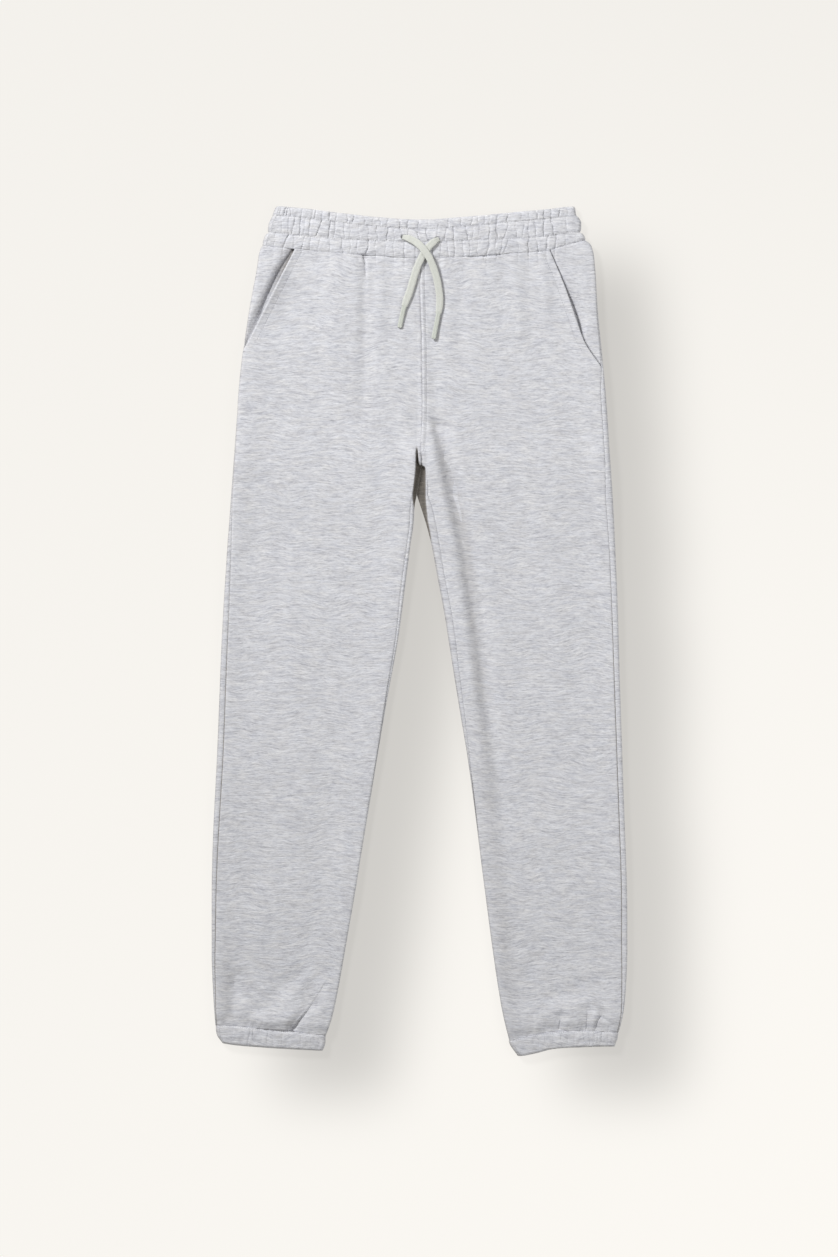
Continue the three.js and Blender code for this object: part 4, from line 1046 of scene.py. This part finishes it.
def waist_field(x, t, up, down):
    out, pinch = np.zeros_like(x), np.zeros_like(x)
    px = np.where(up > 0, x, -x * 0.985 + 4)
    holds = ((0.7, 0.25), (0.25, 0.25), (0.25, 0.9))
    for k, (gathers, (start, end)) in enumerate(zip(GATHERS.values(), holds)):
        u = np.clip(t - k, 0, 1)
        puff, valley = gather_field(gathers, px, u, 0.72)
        hold = mix(mix(start, end, u), 1, np.sin(math.pi * u) ** 0.8)
        puff = puff * hold * 0.24 * (1 + 0.5 * wavy(x, down * 1.6, 50 + k, 22))
        groove = valley * mix(0.8, 1, hold) * 2 * (1 + 0.35 * wavy(x, down, 60 + k, 7))
        out, pinch = np.where(t >= k, puff + groove, out), np.where(t >= k, -valley, pinch)
    # Two rows of stitching pull the band in, most of all where a gather crosses them
    for row in (1, 2):
        d = (t - row) * 20 + 1.5 * wavy(x, 0 * x, 44 + row, 13)
        weak = np.clip(0.45 * np.clip(pinch, 0, 1) + 0.17 * wavy(x, down, 40 + row, 9), 0, 1.2)
        out -= weak * bell(d, 1.1)
    sink = np.where(up > 0, read(WAIST_SINK, "deep", x), 0.3)
    out -= 0.5 * sink * bell((3 - t) * 15, 0.9) + 0.3 * bell(t * 11, 1.2)
    for hole in BUTTONHOLES:
        far = np.hypot((x - hole["x"]) / hole["wide"], (down - hole["down"]) / hole["tall"])
        out += np.where(up > 0, 0.4 * bell(far - 1.5, 0.4) - 1.7 * np.exp(-(far**4)), 0)
    out += 0.25 * wavy(x, down, 21, 15) + 0.17 * wavy(x, down * 0.7, 22, 6.5)
    return out + 0.08 * wavy(x, down, 23, 3.6)


def cuff_parts(leg):
    """The table of a cuff's height and sides, and the relief of its gathers."""
    left, right = leg["cuff_sides"]
    shape = [{
        "t": row["t"], "height": row["height"],
        "left": mix(*left, row["in_by"] ** leg["cuff_round"]),
        "right": mix(*right, row["in_by"] ** leg["cuff_round"]),
    } for row in CUFF_SHAPE]

    def field(x, t, up, down):
        px = np.where(up > 0, x, left[0] + right[0] - x)
        puff, valley = gather_field(leg["cuff_gathers"], px, t, 0.8)
        swell = np.sin(math.pi * np.clip(t, 0, 1)) ** 0.5
        sink = np.where(up > 0, read(leg["cuff_sink"], "deep", x), 0.3)
        out = puff * (0.3 + 0.7 * swell) * 0.6 + valley * (0.5 + 0.5 * swell) * 1.6
        out -= 0.6 * sink * bell(t * 22, 0.9)
        return out + 0.25 * wavy(x, down, 31, 18) + 0.2 * wavy(x, down, 33, 7)

    return shape, field


rows_t = np.concatenate([np.linspace(0, 1, 19)[:-1], np.linspace(1, 2, 28)[:-1], np.linspace(2, 3, 26)])
waist = band(
    "waistband", (760, 190, 16), WAIST_SHAPE, WAIST_LINES, rows_t, waist_field, (18, 45), (2.7, 1.9, 0.55)
)
for stitches in front_stitches:
    sewn(*stitches)
rows_t = np.concatenate([np.linspace(0, 0.85, 30)[:-1], np.linspace(0.85, 1, 9)])
for leg in (RIGHT, LEFT):
    shape, field = cuff_parts(leg)
    cuff = band(
        f"cuff_{leg['name']}", (250, 100, 14), shape, leg["cuff"], rows_t, field, (1.6,), (2.6, 1.7, 0.5)
    )
    sheet(0.256, 0.0225)
sheet(0.755, 0.0475)


# Floor and light

def cover(x, down):
    """1 where the laid garment covers the ground, 0 beside it."""
    total = np.zeros(x.shape)
    for leg in (RIGHT, LEFT):
        toward = leg["to_inner"]
        inner = np.where(down < SPLIT, 0, read(leg["inside"], "inner", down))
        beyond_outer = (x - read(leg["outline"], "outer", down)) * toward > 0
        total += beyond_outer & ((inner - x) * toward > 0) & (down > 0) & (down < 992)
    return total


# The ground reaches far out; near the garment its mesh is fine enough to hold the wide soft shadow painted into
# its colour
far, near, step = GROUND.values()
ground = np.concatenate([[-far], np.linspace(-near, near, 2 * near // step + 1), [far]])
gx, gy = np.meshgrid(ground, ground)
# Painted shadow: the ground the garment covers, moved right and down and blurred
painted_shadow = cover(gx - SHADOW["right"], LENGTH / 2 - (gy + SHADOW["below"]))
kernel = np.exp(-(((np.arange(-15, 16) * step) / SHADOW["soft"]) ** 2) / 2)
kernel /= kernel.sum()
for axis in (0, 1):
    painted_shadow = np.apply_along_axis(lambda line: np.convolve(line, kernel, "same"), axis, painted_shadow)
ids = np.arange(gx.size).reshape(gx.shape)
floor_mesh = bpy.data.meshes.new("floor")
places = stacked(gx, gy, -0.3).reshape(-1, 3) * MM
floor_mesh.from_pydata(places, [], quads(ids.T).tolist())
floor_mesh.attributes.new("shadow", "FLOAT", "POINT").data.foreach_set("value", painted_shadow.ravel())
floor = bpy.data.objects.new("floor", floor_mesh)
scene.collection.objects.link(floor)
material, tree, bsdf = shader("floor_paper", (0.8, 0.78, 0.735), 0.9, 0.0)
spot = add_node(tree, "ShaderNodeTexCoord").outputs["Object"]
split = add_node(tree, "ShaderNodeSeparateXYZ", spot)
# The paper is lighter where the softbox gives less, so that the ground looks even
along = maths(tree, "MULTIPLY_ADD", split.outputs["Y"], -0.52, 0.52)
reach = maths(tree, "ADD", along, maths(tree, "MULTIPLY", split.outputs["X"], 0.2))
# The painted shadow darkens both the paper's colour and its glow
dim = ramp(tree, attribute(tree, "shadow"), [(0.0, (1, 1, 1)), (1.0, (0.664, 0.664, 0.664))])
for socket, stops in (
    ("Base Color", ((0.05, 0.09), (0.5, 0.11), (1.0, 0.14))),
    ("Emission Color", ((0.05, 0.74), (0.5, 0.785), (1.0, 0.825))),
):
    tone = ramp(tree, reach, [(at, tuple(level * c for c in (1.034, 1.007, 0.96))) for at, level in stops])
    tree.links.new(multiply(tree, tone, dim), bsdf.inputs[socket])
bsdf.inputs["Emission Strength"].default_value = 1.0
floor_mesh.materials.append(material)

world = bpy.data.worlds.new("studio")
world.use_nodes = True
background = world.node_tree.nodes["Background"]
background.inputs["Color"].default_value = (1, 0.99, 0.94, 1)
background.inputs["Strength"].default_value = 0.27
scene.world = world
# A softbox at the upper left, near enough that the hems get less of it, and a wide weak one at the right
for name, size, watts, place, aim in (
    ("softbox", 0.6, 79.5, (-1.625, 1.79, 1.81), (0, 0.1, 0)),
    ("fill", 1.0, 9.4, (1.2, -0.1, 1.3), (0, 0, 0)),
):
    lamp = bpy.data.lights.new(name, "AREA")
    lamp.shape, lamp.size, lamp.energy, lamp.color = "SQUARE", size, watts, (0.985, 0.99, 1)
    light = bpy.data.objects.new(name, lamp)
    light.location = place
    light.rotation_euler = (Vector(aim) - light.location).to_track_quat("-Z", "Y").to_euler()
    scene.collection.objects.link(light)
